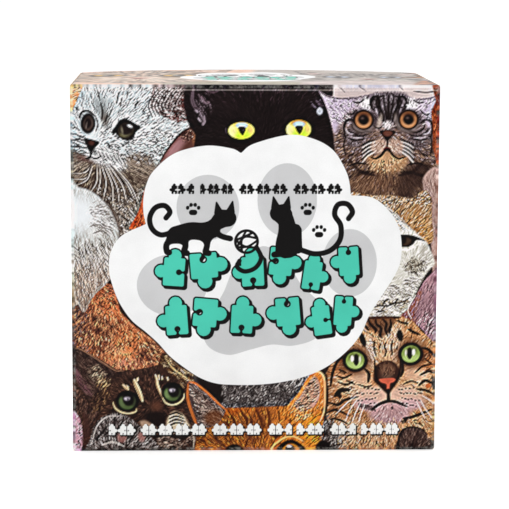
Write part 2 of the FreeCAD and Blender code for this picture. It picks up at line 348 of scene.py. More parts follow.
def pale_cat(p):
    """The white kitten at the top left, with its ear, its nose in three-quarter view and its throat."""
    head = p.area([(-43.2, 97), (-44.9, 93.6), (-45.8, 91.4), (-46.8, 89.2), (-48, 87.6), (-48, 78),
        (-45, 76.5), (-41, 76), (-36, 75), (-30, 74), (-25, 74.5), (-21.5, 79), (-17, 85), (-17.3, 88),
        (-18, 97), (-32, 98)], rounded=False)
    p.ground(head, "c8d4d6", 6, "e2ecec", 0.85)
    p.dabs(head, (-31, 93, 7, 4, 0, 4, "dfe8ea", 0.8), (-24, 84, 6, 2.6, 8, 2, "e6eceb", 0.8),
        (-25, 79, 6, 3, 40, 3, "a5a9a4", 0.7), (-46, 79.6, 3, 4, 0, 2, "8fa3ab", 0.6),
        (-40, 84.6, 1.8, 3, 15, 1.5, "e4eaea", 0.8))
    nose = away(-41, 81)
    p.fur(head, nose, ("eef4f4", "9fb0b5", "d9e2e4"), 5.0, 1.5, 0.55)
    p.fur(head * (p.v > 84), nose, (INK, "3c3a3a", "5b5e60"), 1.5, 1.2, 0.7, 0.25, 0.3)
    p.fur(head * (p.v <= 84) * (p.u > -40), nose, (INK, "2d2b2a"), 2.8, 0.75, 0.85, 0.3, 0.7)
    p.fur(head * p.blob((-45, 80), (3.4, 3.4), 0, 1), along(170), (INK,), 2.2, 1.6, 0.8, 0.2, 0.6)
    for k in range(5):
        p.line([(-47.5, 84.6 - 1.5 * k), (-46.2, 84.9 - 1.6 * k), (-45, 84.2 - 1.5 * k)], INK, 0.35, 0.7)
    # ears
    ear = p.area([(-26.6, 92.5), (-25.8, 97), (-18, 97), (-17.4, 92), (-17.2, 86.8), (-20, 86.4),
        (-23.5, 87.8), (-27, 90)], rounded=False)
    p.tint(ear, "8f6f6c", 0.95)
    p.dabs(ear, (-25, 93, 2.6, 4, 0, 2, "b9b2b2", 0.8), (-19.4, 90, 2.6, 4.4, 0, 1.4, "5a302c", 0.9))
    for k in range(9):
        foot, lean = -26.4 + 0.85 * k, 0.25 * k
        for tone_name, shift in ((INK, 0), ("d8d4d4", 0.4)):
            p.line([(foot + shift, 87.6 + lean), (foot - 1.0 + shift, 90.6), (foot + 0.6 + shift, 93.8),
                (foot + 2.6 + shift, 95.4)], tone_name, 0.38, 0.75)
    p.fur(ear, along(120), ("1a1310", "3c2c2a", "c9bcba"), 4.5, 1.9, 0.7, 0.5, 0.5, 0.8)
    p.fur(ear * (p.v < 89), along(160), ("f0f4f4", INK), 3.0, 1.8, 0.8, 0.4)
    flap = p.area([(-25.5, 74.5), (-23, 78.5), (-20.5, 82.0), (-18.2, 84.2), (-16.3, 84.7), (-15, 83.5),
        (-14.6, 81), (-15, 79), (-19, 78), (-22, 76)])
    p.tint(flap, "5c3c34")
    p.dabs(flap, (-20.6, 79.6, 3.8, 1.3, 50, 1, "a98082", 0.9),
        (-15.4, 82.4, 0.8, 2.0, 0, 0.5, "9a6a48", 0.8), (-17.6, 83.0, 1.4, 1.2, 0, 0.8, "3a221d", 0.8))
    p.fur(flap * p.blob((-17.4, 83), (2.4, 1.6), 0, 0.6), along(60), (INK, "c9a292"), 8, 0.5, 0.75, 0.8)
    p.line([(-25.5, 74.5), (-22.8, 79), (-19.6, 83), (-17, 84.7), (-15.4, 84.2), (-14.7, 81.6)], "3a241e",
        0.55, 0.9)
    # chin and throat
    throat = p.area([(-48, 78.6), (-45, 78.2), (-42.6, 76.6), (-40.4, 76.2), (-38.5, 74.2), (-35.5, 74.6),
        (-33, 77), (-29, 77.8), (-25, 74), (-27, 69), (-28.4, 65), (-31, 60), (-34, 56), (-36, 62),
        (-40, 67.4), (-44, 69.6), (-48, 69.6)], 1.3)
    p.tint(throat, "6a5c51")
    p.dabs(throat, (-37, 70.6, 8, 4.8, -25, 2, "4d4138", 0.9), (-30, 75.4, 4, 2.6, -20, 1.4, "968a7d", 0.9),
        (-45.5, 74.6, 3, 2.4, 0, 1.4, "a59c90", 0.8), (-43, 77.2, 2.4, 1.0, 0, 0.8, "6b4f49", 0.9),
        (-34, 61, 5, 5, -50, 2, "a49d93", 0.9))
    p.fur(throat, away(-39, 78), ("8a7c6e", "40342d", "2b211c", "a0937f"), 6.0, 1.6, 0.6, 0.2)
    p.fur(p.blob((-29.5, 77.2), (5, 1.6), -12, 1.0), along(-35), ("dfe6e6", INK, "8d8478"), 5, 1.1, 0.75,
        0.3)
    p.fur(throat * (p.v < 69.5), along(-55), (INK, "dedad0", "3a332d"), 5.0, 0.8, 0.75, 0.4)
    # muzzle
    p.dabs(EVERYWHERE, (-37.6, 76.6, 4.4, 2.4, -25, 1.2, "e6eceb", 0.95))
    p.fur(p.blob((-37.6, 76.8), (5, 2.8), -25, 0.6), along(-45), (INK, "ffffff", "8f9490"), 4.0, 1.1, 0.8,
        0.3)
    for k in range(8):
        p.line([(-41.6 + k * 1.05, 79.4 - 0.35 * k), (-40.6 + k * 1.05, 78.0 - 0.4 * k)], INK, 0.3, 0.75)
    for end, bend in (((-47.4, 73.2), (-44, 73.4)), ((-47.4, 71.6), (-43.6, 72)),
            ((-46.4, 70), (-43.4, 71.6)), ((-42.6, 68.2), (-41, 71)), ((-41, 67.6), (-40, 71.6)),
            ((-39.4, 66.2), (-38.6, 71)), ((-36.9, 64.6), (-37, 70)), ((-35.2, 65.4), (-35.9, 70)),
            ((-33.4, 66), (-34.6, 70.4)), ((-31.4, 66.6), (-33.6, 71)), ((-30.2, 65.2), (-32.6, 70.4))):
        root = (-39.5 + 0.28 * (end[0] + 38), 75.6)
        p.lines(([root, bend, end], "2a211d", 0.5, 0.6), ([(root[0] + 0.2, root[1]),
            (bend[0] + 0.2, bend[1]), (end[0] + 0.2, end[1])], "d3ccc2", 0.24, 0.9))
    # brow marks
    p.dabs(EVERYWHERE, (-38.6, 87.4, 0.9, 2.2, 8, 1.0, "5d5650", 0.9),
        (-39.6, 90.6, 1.6, 2.4, 12, 1.2, "8d9495", 0.7))
    for pts, w in (([(-39.4, 86.6), (-39.2, 89), (-39.6, 91.4)], 0.5),
            ([(-38.4, 86.4), (-37.8, 88.6)], 0.45), ([(-37.6, 87.6), (-36.8, 89.6)], 0.35),
            ([(-41, 89.6), (-42, 91.6)], 0.3), ([(-35.6, 91), (-35, 94)], 0.4),
            ([(-34.6, 90.2), (-34.2, 92.6)], 0.35), ([(-39.8, 91.8), (-40.4, 94.6)], 0.35),
            ([(-31, 89.8), (-30, 91.8)], 0.3), ([(-29, 89), (-27.8, 90.6)], 0.3)):
        p.line(pts, "2a2624", w, 0.8)
    # eyes
    p.dabs(EVERYWHERE, (-42.9, 86.2, 2.3, 3.0, -8, 0.6, "7b8286", 0.6),
        (-42.9, 86.0, 1.85, 2.55, -5, 0.25, "191413"), (-42.8, 85.9, 1.25, 1.9, -5, 0.3, "544a44", 0.95),
        (-42.9, 86.1, 0.8, 1.35, -5, 0.3, "1d1716"))
    p.lines(([(-43.4, 84.6), (-43.2, 86.4)], "7d736b", 0.3, 0.8),
        ([(-45.1, 87.4), (-44.4, 88.9), (-42.6, 89.1), (-40.9, 87.8)], INK, 0.55, 0.9),
        ([(-41, 88), (-40.4, 86), (-40.9, 83.9)], "4a4645", 0.4, 0.8))
    lid = [(-36.9, 83.6), (-35.8, 85.4), (-34.6, 86.9), (-33.0, 87.1), (-31.2, 86.2), (-29.5, 85),
        (-30.6, 83.8), (-31.4, 82.3), (-33, 81.6), (-34.8, 82.3), (-35.8, 83.4)]
    p.patch(lid, 0.25, "171211")
    p.dabs(EVERYWHERE, (-33.2, 84.2, 2.0, 1.95, 0, 0.25, "39352a"),
        (-33.6, 83.2, 1.4, 0.7, 15, 0.4, "77765a", 0.85), (-33.2, 84.6, 1.7, 1.5, 0, 0.35, "241e1b"),
        (-34.2, 84.2, 0.3, 1.0, 10, 0.2, "8a8671", 0.7), (-32.2, 85.3, 0.7, 0.35, -25, 0.2, "cdd9df"))
    p.line([(-37, 84.6), (-35.4, 87.2), (-33, 88.1), (-30.6, 86.9)], "eef2f2", 0.4, 0.7)
    # nose and mouth
    p.patch([(-43.9, 82.1), (-42.6, 82.0), (-40.4, 81.4), (-40.2, 80.8), (-41.3, 79.6), (-42.2, 78.2),
        (-43.2, 80)], 0.25, "171110")
    p.dabs(EVERYWHERE, (-42.0, 81.0, 0.9, 0.6, -10, 0.4, "553830", 0.9))
    p.lines(([(-42.3, 78.6), (-42.4, 77.4), (-43.6, 76.9)], INK, 0.6),
        ([(-42.4, 77.5), (-41.2, 77.0), (-39.8, 77.4)], INK, 0.45))


def pale_ruff(p):
    """The white chest at the left edge."""
    ruff = p.area([(-48, 69.9), (-45.5, 69.6), (-42, 68.4), (-38.6, 65.4), (-36.4, 61.6), (-35.2, 57.6),
        (-36, 54), (-37.2, 51), (-37, 47), (-38.6, 44.6), (-41.4, 42), (-43, 39.6), (-44.3, 37.2),
        (-45.6, 39.2), (-48, 41.5)], 0.5)
    p.tint(ruff, "c3c9c6")
    p.tint(ruff * p.below(58, 12), "c4b5a8", 0.95)
    p.tint(ruff * p.below(47, 8), "a08470", 0.95)
    p.fur(ruff, away(-47, 78), ("eef2f1", "a9a79e", "7d7468"), 5.0, 2.2, 0.45, 0.15)
    p.dabs(ruff, (-45.2, 63.0, 6.0, 5.2, -25, 4, "f3fafc", 1.0),
        (-40, 58.6, 3.0, 1.4, 30, 1.6, "e6e8e4", 0.7))
    p.fur(ruff * p.blob((-39.6, 61.4), (3.2, 4.6), 20, 1), away(-46, 64), ("5f5850", "f2f4f2", "8b857b"),
        5.0, 1.3, 0.6, 0.25)
    p.fur(ruff * p.below(58, 4), along(-68), (INK, "3a332e", "5f554b"), 1.4, 2.2, 0.6, 0.2, 0.4)
    p.fur(ruff * p.below(52, 6), along(-80), ("6a564c", "e0d0c0", "8a7464", "c4b09e"), 5.0, 2.2, 0.5, 0.1)
    p.lines(([(-42.6, 59.4), (-40.4, 59.8), (-38.2, 58.6)], "6b645c", 0.35, 0.6),
        ([(-41.8, 57.6), (-39.5, 58.2), (-37.6, 56.8)], "5b544c", 0.35, 0.6))


def black_cat(p):
    """The black cat behind the badge."""
    body = p.area([(-18.2, 97), (19.8, 97), (19.8, 93.4), (18.5, 91), (19.4, 87), (20.2, 82), (21.6, 78),
        (22.5, 74), (-16, 78), (-15.4, 83), (-17.4, 86.4), (-18.4, 91)], rounded=False)
    p.tint(body, "151010")
    p.tint(body * p.clouds(5) * p.above(84, 10), "33272a", 0.55)
    p.fur(body, away(2, 80), ("231c1b", "0d0a0a", "2c2426"), 2.4, 2.0, 0.45, 0.3)
    p.fur(body * p.above(89, 5), away(2, 80), ("6a5560", "54434c"), 0.8, 1.5, 0.5, 0.3)
    for pts, w, tone in (([(-15.8, 95.5), (-16.2, 92), (-15, 89.6), (-13.6, 88.6)], 1.0, "6d5f68"),
            ([(-14.6, 93.4), (-13, 91.6), (-11.8, 91.4)], 0.9, "7d6a74"),
            ([(-15.6, 89.4), (-14, 88.6), (-13.2, 86.8), (-13.5, 85.6)], 1.0, "9a8e98"),
            ([(-14.8, 87.6), (-13.9, 86.4)], 0.6, "b9aeb8"), ([(-12.6, 94.6), (-11, 94), (-9.4, 94.4)], 0.5,
            "5c4c54"), ([(15.4, 92.2), (16.4, 91), (17.4, 90.6)], 0.6, "6d6270"),
            ([(14.6, 91), (15.6, 90)], 0.4, "7d7484"), ([(-7.6, 84.9), (-7.4, 83.4)], 0.5, "6a6068")):
        p.line(pts, tone, w, 0.8)
    p.fur(p.blob((-13.5, 90.5), (2.4, 3.4), 0, 1), along(-60), ("8d7f89", INK), 4, 1.4, 0.6, 0.5)
    p.fur(p.blob((15.6, 91.2), (2.2, 2), 0, 1), along(200), ("7d7484", INK), 3, 1.2, 0.6, 0.5)
    p.dabs(EVERYWHERE, (16.5, 89.2, 0.8, 0.95, 0, 0.3, "c4cbd6", 0.9))
    for cu, cv, ru, rv in ((-3.6, 84.2, 3.35, 2.15), (11.1, 84.5, 3.2, 2.45)):
        p.dabs(EVERYWHERE, (cu, cv, ru + 0.5, rv + 0.5, 0, 0.3, "0b0808", 0.9))
        eye = p.blob((cu, cv), (ru, rv), 0, 0.2)
        p.tint(eye, "d8df6a")
        p.dabs(eye, (cu, cv - 1.4, 2.6, 1.2, 0, 0.8, "c3ea3c", 0.9),
            (cu - 2.4, cv, 1.2, 1.8, 0, 0.8, "f2eda0", 0.9), (cu + 0.4, cv + 2.1, 3.4, 0.9, 0, 0.6,
            "a8743e" if cu > 0 else "c99b55", 0.85), (cu + 2.6, cv + 0.6, 0.9, 1.4, 0, 0.5, "e3c878", 0.8),
            (cu + 0.1, cv + 1.35, 1.5, 0.75, 0, 0.25, "b7d3ea"))
        p.patch([(cu - 0.75, cv + 0.75), (cu + 0.2, cv + 1.0), (cu + 1.1, cv + 0.7), (cu + 0.8, cv - 0.5),
            (cu + 0.25, cv - 1.2), (cu - 0.45, cv - 0.4)], 0.18, "0b0708")
        p.dabs(EVERYWHERE, (cu + 0.5, cv + 0.1, 0.3, 0.3, 0, 0.15, "55584e"))


def grey_tabby(p):
    """The wide-eyed tabby at the top right."""
    head = p.area([(16.3, 94.3), (18.2, 93.2), (22, 92.5), (26, 92.9), (30, 93.6), (34, 94.0), (38, 93.6),
        (41, 92.4), (44, 92.6), (47.5, 93.4), (46.2, 91.0), (45.2, 88.6), (45.6, 84), (45.8, 79.6),
        (46.8, 76), (48, 74), (48, 71.5), (44.4, 71.6), (43.4, 68.6), (41.6, 66.6), (38.6, 66), (34, 67),
        (29, 67), (24, 67), (22, 74), (20.6, 79), (20.2, 83), (19.4, 86.6), (18.4, 90), (17.4, 92.4)],
        rounded=False)
    p.tint(head, "9b8c90")
    p.tint(head * p.above(86, 7), "b5a9b8", 0.8)
    p.tint(head * p.below(89, 6), "7d6658", 0.85)
    p.tint(head * p.below(82, 6), "6b5242", 0.9)
    p.tint(head * p.below(75, 4), "49382e", 0.95)
    nose = away(34, 84)
    p.fur(head, nose, ("c6b8bc", "4a4044", "8a7a7c", "2d2523"), 6.0, 1.4, 0.6)
    p.fur(head * p.below(87, 5) * (p.v > 75), nose, ("b0957c", "30221b", "6f5444", "241813"), 5.0, 1.2,
        0.65)
    p.fur(head * p.below(79, 5), nose, ("8a7058", "33251e", "5f4939", "241813"), 7.0, 1.8, 0.65)
    # pale ears and brows
    p.tint(head * p.area([(16.4, 94.2), (19, 92.9), (24, 92.6), (25.4, 90.6), (23, 88.6), (21.6, 86),
        (20, 84)], 0.8), "cbbfd4", 0.85)
    p.tint(head * p.area([(47.5, 93.6), (43, 92.8), (41.4, 90.5), (43.2, 88.5), (44.8, 85)], 0.8), "cbbfd4",
        0.85)
    p.fur(head * (p.v > 86) * (np.abs(p.u - 34) > 7), away(34, 80),
        ("2a2426", "efe8f0", "8d8290", "ddd2e2"), 5.0, 0.8, 0.65, 0.5)
    for cu, tilt in ((28.6, -25), (40.0, 20)):
        p.dabs(EVERYWHERE, (cu, 91.0, 1.7, 1.7, tilt, 0.7, "f4eff4", 0.95))
        p.fur(p.blob((cu, 91.2), (2, 1.8), tilt, 0.5), along(100), (INK, "ffffff"), 4, 0.8, 0.6, 0.4)
    p.lines(([(16.6, 94), (19, 92.8), (23, 92.4), (27, 92.8)], "4a4245", 0.3, 0.7),
        ([(41, 92.2), (44, 92.4), (47, 93.2)], "4a4245", 0.3, 0.7))
    # forehead stripes
    brow = p.area([(30, 93.6), (38.4, 93.8), (38, 90.4), (36.4, 87), (34.4, 85.6), (32, 87), (30.4, 90.4)],
        0.8)
    p.tint(brow, "4e474b", 0.85)
    p.fur(brow, along(95), ("8d868b", INK, "b5adb3"), 5, 1.3, 0.6, 0.2)
    for u, w in ((31.4, 0.8), (33.0, 0.55), (34.2, 0.75), (35.4, 0.55), (37.0, 0.8)):
        p.line([(u, 93.4), (u + (34.2 - u) * 0.1, 91), (u + (34.2 - u) * 0.45, 88.6),
            (34.1 + (u - 34.2) * 0.35, 86.2)], INK, w, 0.85)
    for s, c in ((-1, 34.1), (1, 34.3)):
        p.line(ellipse((c + s * 3.4, 91.3), (1.2, 1.7), 12), INK, 0.6, 0.85, taper=False)
        cheek = head * p.blob((c + s * 8.2, 82.2), (3.4, 2.4), s * 25, 1.2)
        p.tint(cheek, "4b4347", 0.65)
        p.fur(cheek, away(c + s * 5.4, 87), (INK, "a89ea4", "756a6e"), 5, 1.3, 0.7, 0.2, 0.5, 0.9)
        p.line([(c + s * 10.8, 82.8), (c + s * 11.3, 80.4), (c + s * 10.8, 77.6)], INK, 0.5, 0.7)
        for pts, w in (([(0.8, 93.2), (2.2, 92.9), (3.2, 91.6), (2.6, 90)], 0.5),
                ([(3.8, 92.8), (4.4, 91.6), (3.8, 90.2)], 0.55),
                ([(6.2, 92.2), (7.6, 91.4), (9.2, 91.6)], 0.45),
                ([(3.6, 90.4), (2.4, 89), (2.2, 87.4)], 0.6),
                ([(1.4, 85.2), (2.8, 84.9), (4.0, 85.8)], 0.55),
                ([(8.0, 89.6), (9.4, 88.4), (10.6, 88.6)], 0.5), ([(8.2, 86.2), (9.4, 87.0), (10.8, 86.6),
                (11.3, 84.8), (11.0, 82.6)], 0.7), ([(5.0, 84.2), (7.2, 83.8), (8.8, 84.6), (9.4, 85.8)],
                0.5), ([(5.2, 83.2), (7.4, 82.8), (9.4, 83.6), (10.2, 84.8)], 0.45),
                ([(6.2, 82.0), (8.4, 81.8), (10.2, 82.2)], 0.5), ([(8.6, 78.4), (10.2, 77.6)], 0.6),
                ([(4.8, 75.4), (7.6, 75.8), (10.2, 75.0)], 0.6),
                ([(3.0, 73.6), (6.6, 73.2), (9.8, 72.2)], 0.9)):
            p.line([(c + s * x, y) for x, y in pts], INK, w, 0.8)
        for pts, w in (([(5.2, 84.8), (7.2, 84.5), (8.4, 85.2)], 0.35),
                ([(8.6, 83.2), (10.2, 83.6), (10.9, 84.8)], 0.35),
                ([(6.4, 82.5), (8.4, 82.3), (9.8, 82.8)], 0.3), ([(9.8, 86.2), (10.4, 85.4)], 0.4),
                ([(2.8, 88.8), (3.2, 90.0)], 0.5)):
            p.line([(c + s * x, y) for x, y in pts], "c3b9c3", w, 0.75)
        p.dabs(EVERYWHERE, (c + s * 2.2, 86.6, 0.6, 1.8, s * 15, 0.4, "c9bdb0", 0.7))
        for k in range(4):
            p.lines(([(c + s * 2.6, 81.9 - k * 0.8), (c + s * 4.8, 81.4 - k * 1.0),
                (c + s * 6.9, 80.3 - k * 1.25)], INK, 0.55, 0.9), ([(c + s * 2.8, 81.4 - k * 0.8),
                (c + s * 4.8, 80.8 - k * 1.0), (c + s * 6.6, 79.7 - k * 1.25)], "efe6de", 0.42, 0.85))
    # eyes
    for cu, cv in ((27.8, 87.0), (39.4, 87.1)):
        p.dabs(EVERYWHERE, (cu, cv - 0.4, 3.5, 3.3, 0, 0.7, "2a2122", 0.6),
            (cu, cv - 1.6, 2.9, 1.9, 0, 0.5, "a3958c", 0.45), (cu, cv, 2.65, 2.6, 0, 0.25, "140e0d"),
            (cu, cv - 0.05, 2.15, 2.1, 0, 0.25, "9c6e4a"), (cu, cv - 1.1, 1.5, 0.9, 0, 0.5, "bd8f68", 0.95),
            (cu, cv + 1.3, 1.6, 0.7, 0, 0.5, "5f3d2a", 0.9), (cu, cv, 1.35, 1.3, 0, 0.35, "1b1413"),
            (cu - 0.3, cv + 0.4, 0.4, 0.3, 0, 0.3, "5c4c46"))
    # nose, muzzle and mouth
    p.dabs(EVERYWHERE, (34.0, 85.7, 1.3, 1.1, 0, 0.5, "d9cfd0", 0.9))
    p.fur(p.blob((34.0, 85.2), (1.5, 1.5), 0, 0.3), along(90), (INK, "f0e8e8"), 6, 0.4, 0.8)
    p.patch([(32.0, 84), (32.9, 84.3), (35.2, 84.3), (36.1, 83.9), (35.2, 82.8), (34.2, 81.8), (33.6, 81.8),
        (32.8, 82.8)], 0.25, "17100e")
    p.dabs(EVERYWHERE, (34.05, 83.5, 1.3, 0.75, 0, 0.3, "6d473b", 0.95))
    for s in (-1, 1):
        pad = p.blob((34.0 + s * 2.3, 80.2), (2.2, 1.9), s * -20, 0.7)
        p.tint(pad, "c6a996", 0.9)
        p.fur(pad, along(-90 + s * 40), ("ead9cd", "7a5c50", "a98876"), 5, 0.8, 0.6, 0.3)
    p.patch([(28.8, 77.4), (31.6, 77.6), (34, 79), (36.4, 77.6), (39.4, 77.4), (38.6, 74.6), (36, 73.0),
        (32, 73.0), (29.8, 74.6)], 0.9, "a8825f", 0.95)
    p.dabs(EVERYWHERE, (34, 76.2, 3.4, 1.6, 0, 1, "caa57e", 0.8))
    p.fur(p.blob((34, 75.2), (5.6, 2.4), 0, 0.8), away(34, 80), ("d9bb98", "6a4c37", INK, "e6cda8"), 5, 0.8,
        0.6)
    p.line([(34.0, 81.8), (34.0, 79.6)], INK, 0.5, 0.9, taper=False)
    p.patch([(33.0, 79.6), (34, 80.0), (35, 79.6), (34.7, 78.8), (34, 79.1), (33.3, 78.8)], 0.2, "70393a")
    p.line([(29.6, 77.4), (31.0, 77.0), (32.4, 77.8), (33.3, 79.0), (34.0, 79.3), (34.7, 79.0),
        (35.6, 77.8), (37.0, 77.0), (38.8, 77.5)], INK, 0.7, 0.95)
    # ruff
    p.fur(head * p.blob((33, 70.4), (10, 3.6), 0, 1), away(34, 80),
        ("7d6350", "2b1e19", "5b4434", "997c62"), 8.0, 2.2, 0.6, 0.12)
    p.dabs(head, (31, 70.6, 5, 2, 0, 2, "8a6248", 0.35))
    p.tint(head * p.area([(38, 73.8), (43, 75.8), (45, 75.4), (45.6, 72.8), (42, 69.6), (40, 67),
        (37, 67.4)], 1.0), "2b1e1a", 0.6)
    for s in (-1, 1):
        p.line([(34 + s * 10, 77), (34 + s * 7, 73.8), (34 + s * 3, 72.6)], "1f1512", 0.9, 0.6)


def right_neck(p):
    """A pinkish neck at the right edge."""
    neck = p.area([(43.6, 72.5), (48, 72.5), (48, 44), (46.4, 46), (45.6, 56), (44, 66)], 0.4)
    p.tint(neck, "b39a90")
    p.fur(neck, along(-80), ("cdb8ad", "7d655b", "94776c"), 3, 1.8, 0.55)


def orange_white_cat(p):
    """The white and orange cat beside the badge."""
    crown = p.area([(24, 68), (30, 67.4), (36, 67.3), (40.5, 66.6), (43.5, 68.6), (45.4, 67), (45.8, 61),
        (46.2, 56), (44, 54.6), (40, 56.2), (36, 58), (30, 62)], 0.4)
    p.ground(crown, "8a6c50", 2.5, "b58f66", 0.7)
    p.dabs(crown, (41.6, 61.6, 3.6, 2.8, -30, 1.4, "bf8f5e", 0.8),
        (44.4, 57.6, 1.6, 2.4, 10, 0.8, "d8a057", 0.85), (33.6, 65.4, 3, 1.4, -20, 1, "dcd6cc", 0.8))
    p.fur(crown, away(33, 50), ("3a2a1c", "e4d2b4", "8f6a40", "c8a878", "a87c48"), 8.0, 1.5, 0.65, 0.3)
    p.fur(crown * (p.v > 65), along(30), (INK, "e8dcc8"), 4.0, 0.9, 0.7, 0.5)
    face = p.area([(30, 65.4), (34, 64.6), (37, 62.0), (39.6, 59.4), (42, 57.4), (44.6, 55.0), (46, 52),
        (46.8, 49.6), (44.6, 47.2), (42.6, 43.4), (40.6, 38.8), (38.6, 35.7), (34, 35.6), (28, 35.6),
        (27, 45), (27, 58)], 0.6, rounded=False)
    p.ground(face, "d6d5c9", 4, "eff1ea", 0.8)
    p.dabs(face, (37.6, 61, 3.4, 1.8, -45, 1.2, "dfe4e6", 0.9), (44.6, 52.4, 1.6, 3, 0, 1, "b9b5ab", 0.8))
    p.fur(face, away(41, 48), ("ffffff", "aaa898", "e6e6dc"), 4.5, 1.6, 0.5)
    p.fur(face * p.above(57.6, 3), along(-35), (INK, "c79a5c", "f4f4f0", "8b7a62"), 5.0, 1.5, 0.7, 0.35)
    p.dabs(face, (41.6, 49, 2.4, 2.0, 0, 1, "8d8573", 0.7))
    p.fur(face * p.blob((41.6, 49), (2.8, 2.4), 0, 1), away(41, 56), ("2c241c", "6d6252"), 7.0, 0.8, 0.75,
        0.5)
    p.fur(face * p.area([(33, 43), (38, 45), (44, 47), (41, 38), (38, 36), (31, 36)]), along(-20),
        ("6d6455", "fbfaf4", "4a4238"), 3.0, 1.7, 0.6, 0.25)
    p.fur(face * (p.v < 40), along(-15), ("b9ac8e", "fbfaf4", "8a7f68"), 4.0, 1.5, 0.5, 0.2)
    for pts in ([(30.8, 38), (32.6, 38.6), (34.4, 38.4), (36.4, 39.2), (38.2, 39.4), (40.4, 40.6)],
            [(33.2, 38.5), (34, 39.8), (35, 40.2)], [(36.4, 39), (37.4, 40.4)], [(32, 37), (34, 37.2)]):
        p.line(pts, "1c1511", 0.5, 0.85)
    p.fur(p.blob((36, 38.8), (4.6, 1.0), 12, 0.5), along(70), ("1c1511", "6e5a3c"), 5, 0.8, 0.8, 0.5)
    p.patch([(36.5, 57.0), (39, 57.2), (41.6, 56.8), (44.2, 55.6), (42, 55.8), (41, 54.7), (39.6, 54),
        (37.6, 54.2), (36.6, 55.4)], 0.25, "15100d")
    p.dabs(EVERYWHERE, (39.2, 55.4, 1.5, 1.1, 0, 0.3, "43362a"), (38.4, 55.8, 0.9, 1.0, 0, 0.3, "16110e"))
    p.line([(37, 53.6), (39.6, 53.2), (41.6, 54.2)], "ffffff", 0.5, 0.9)


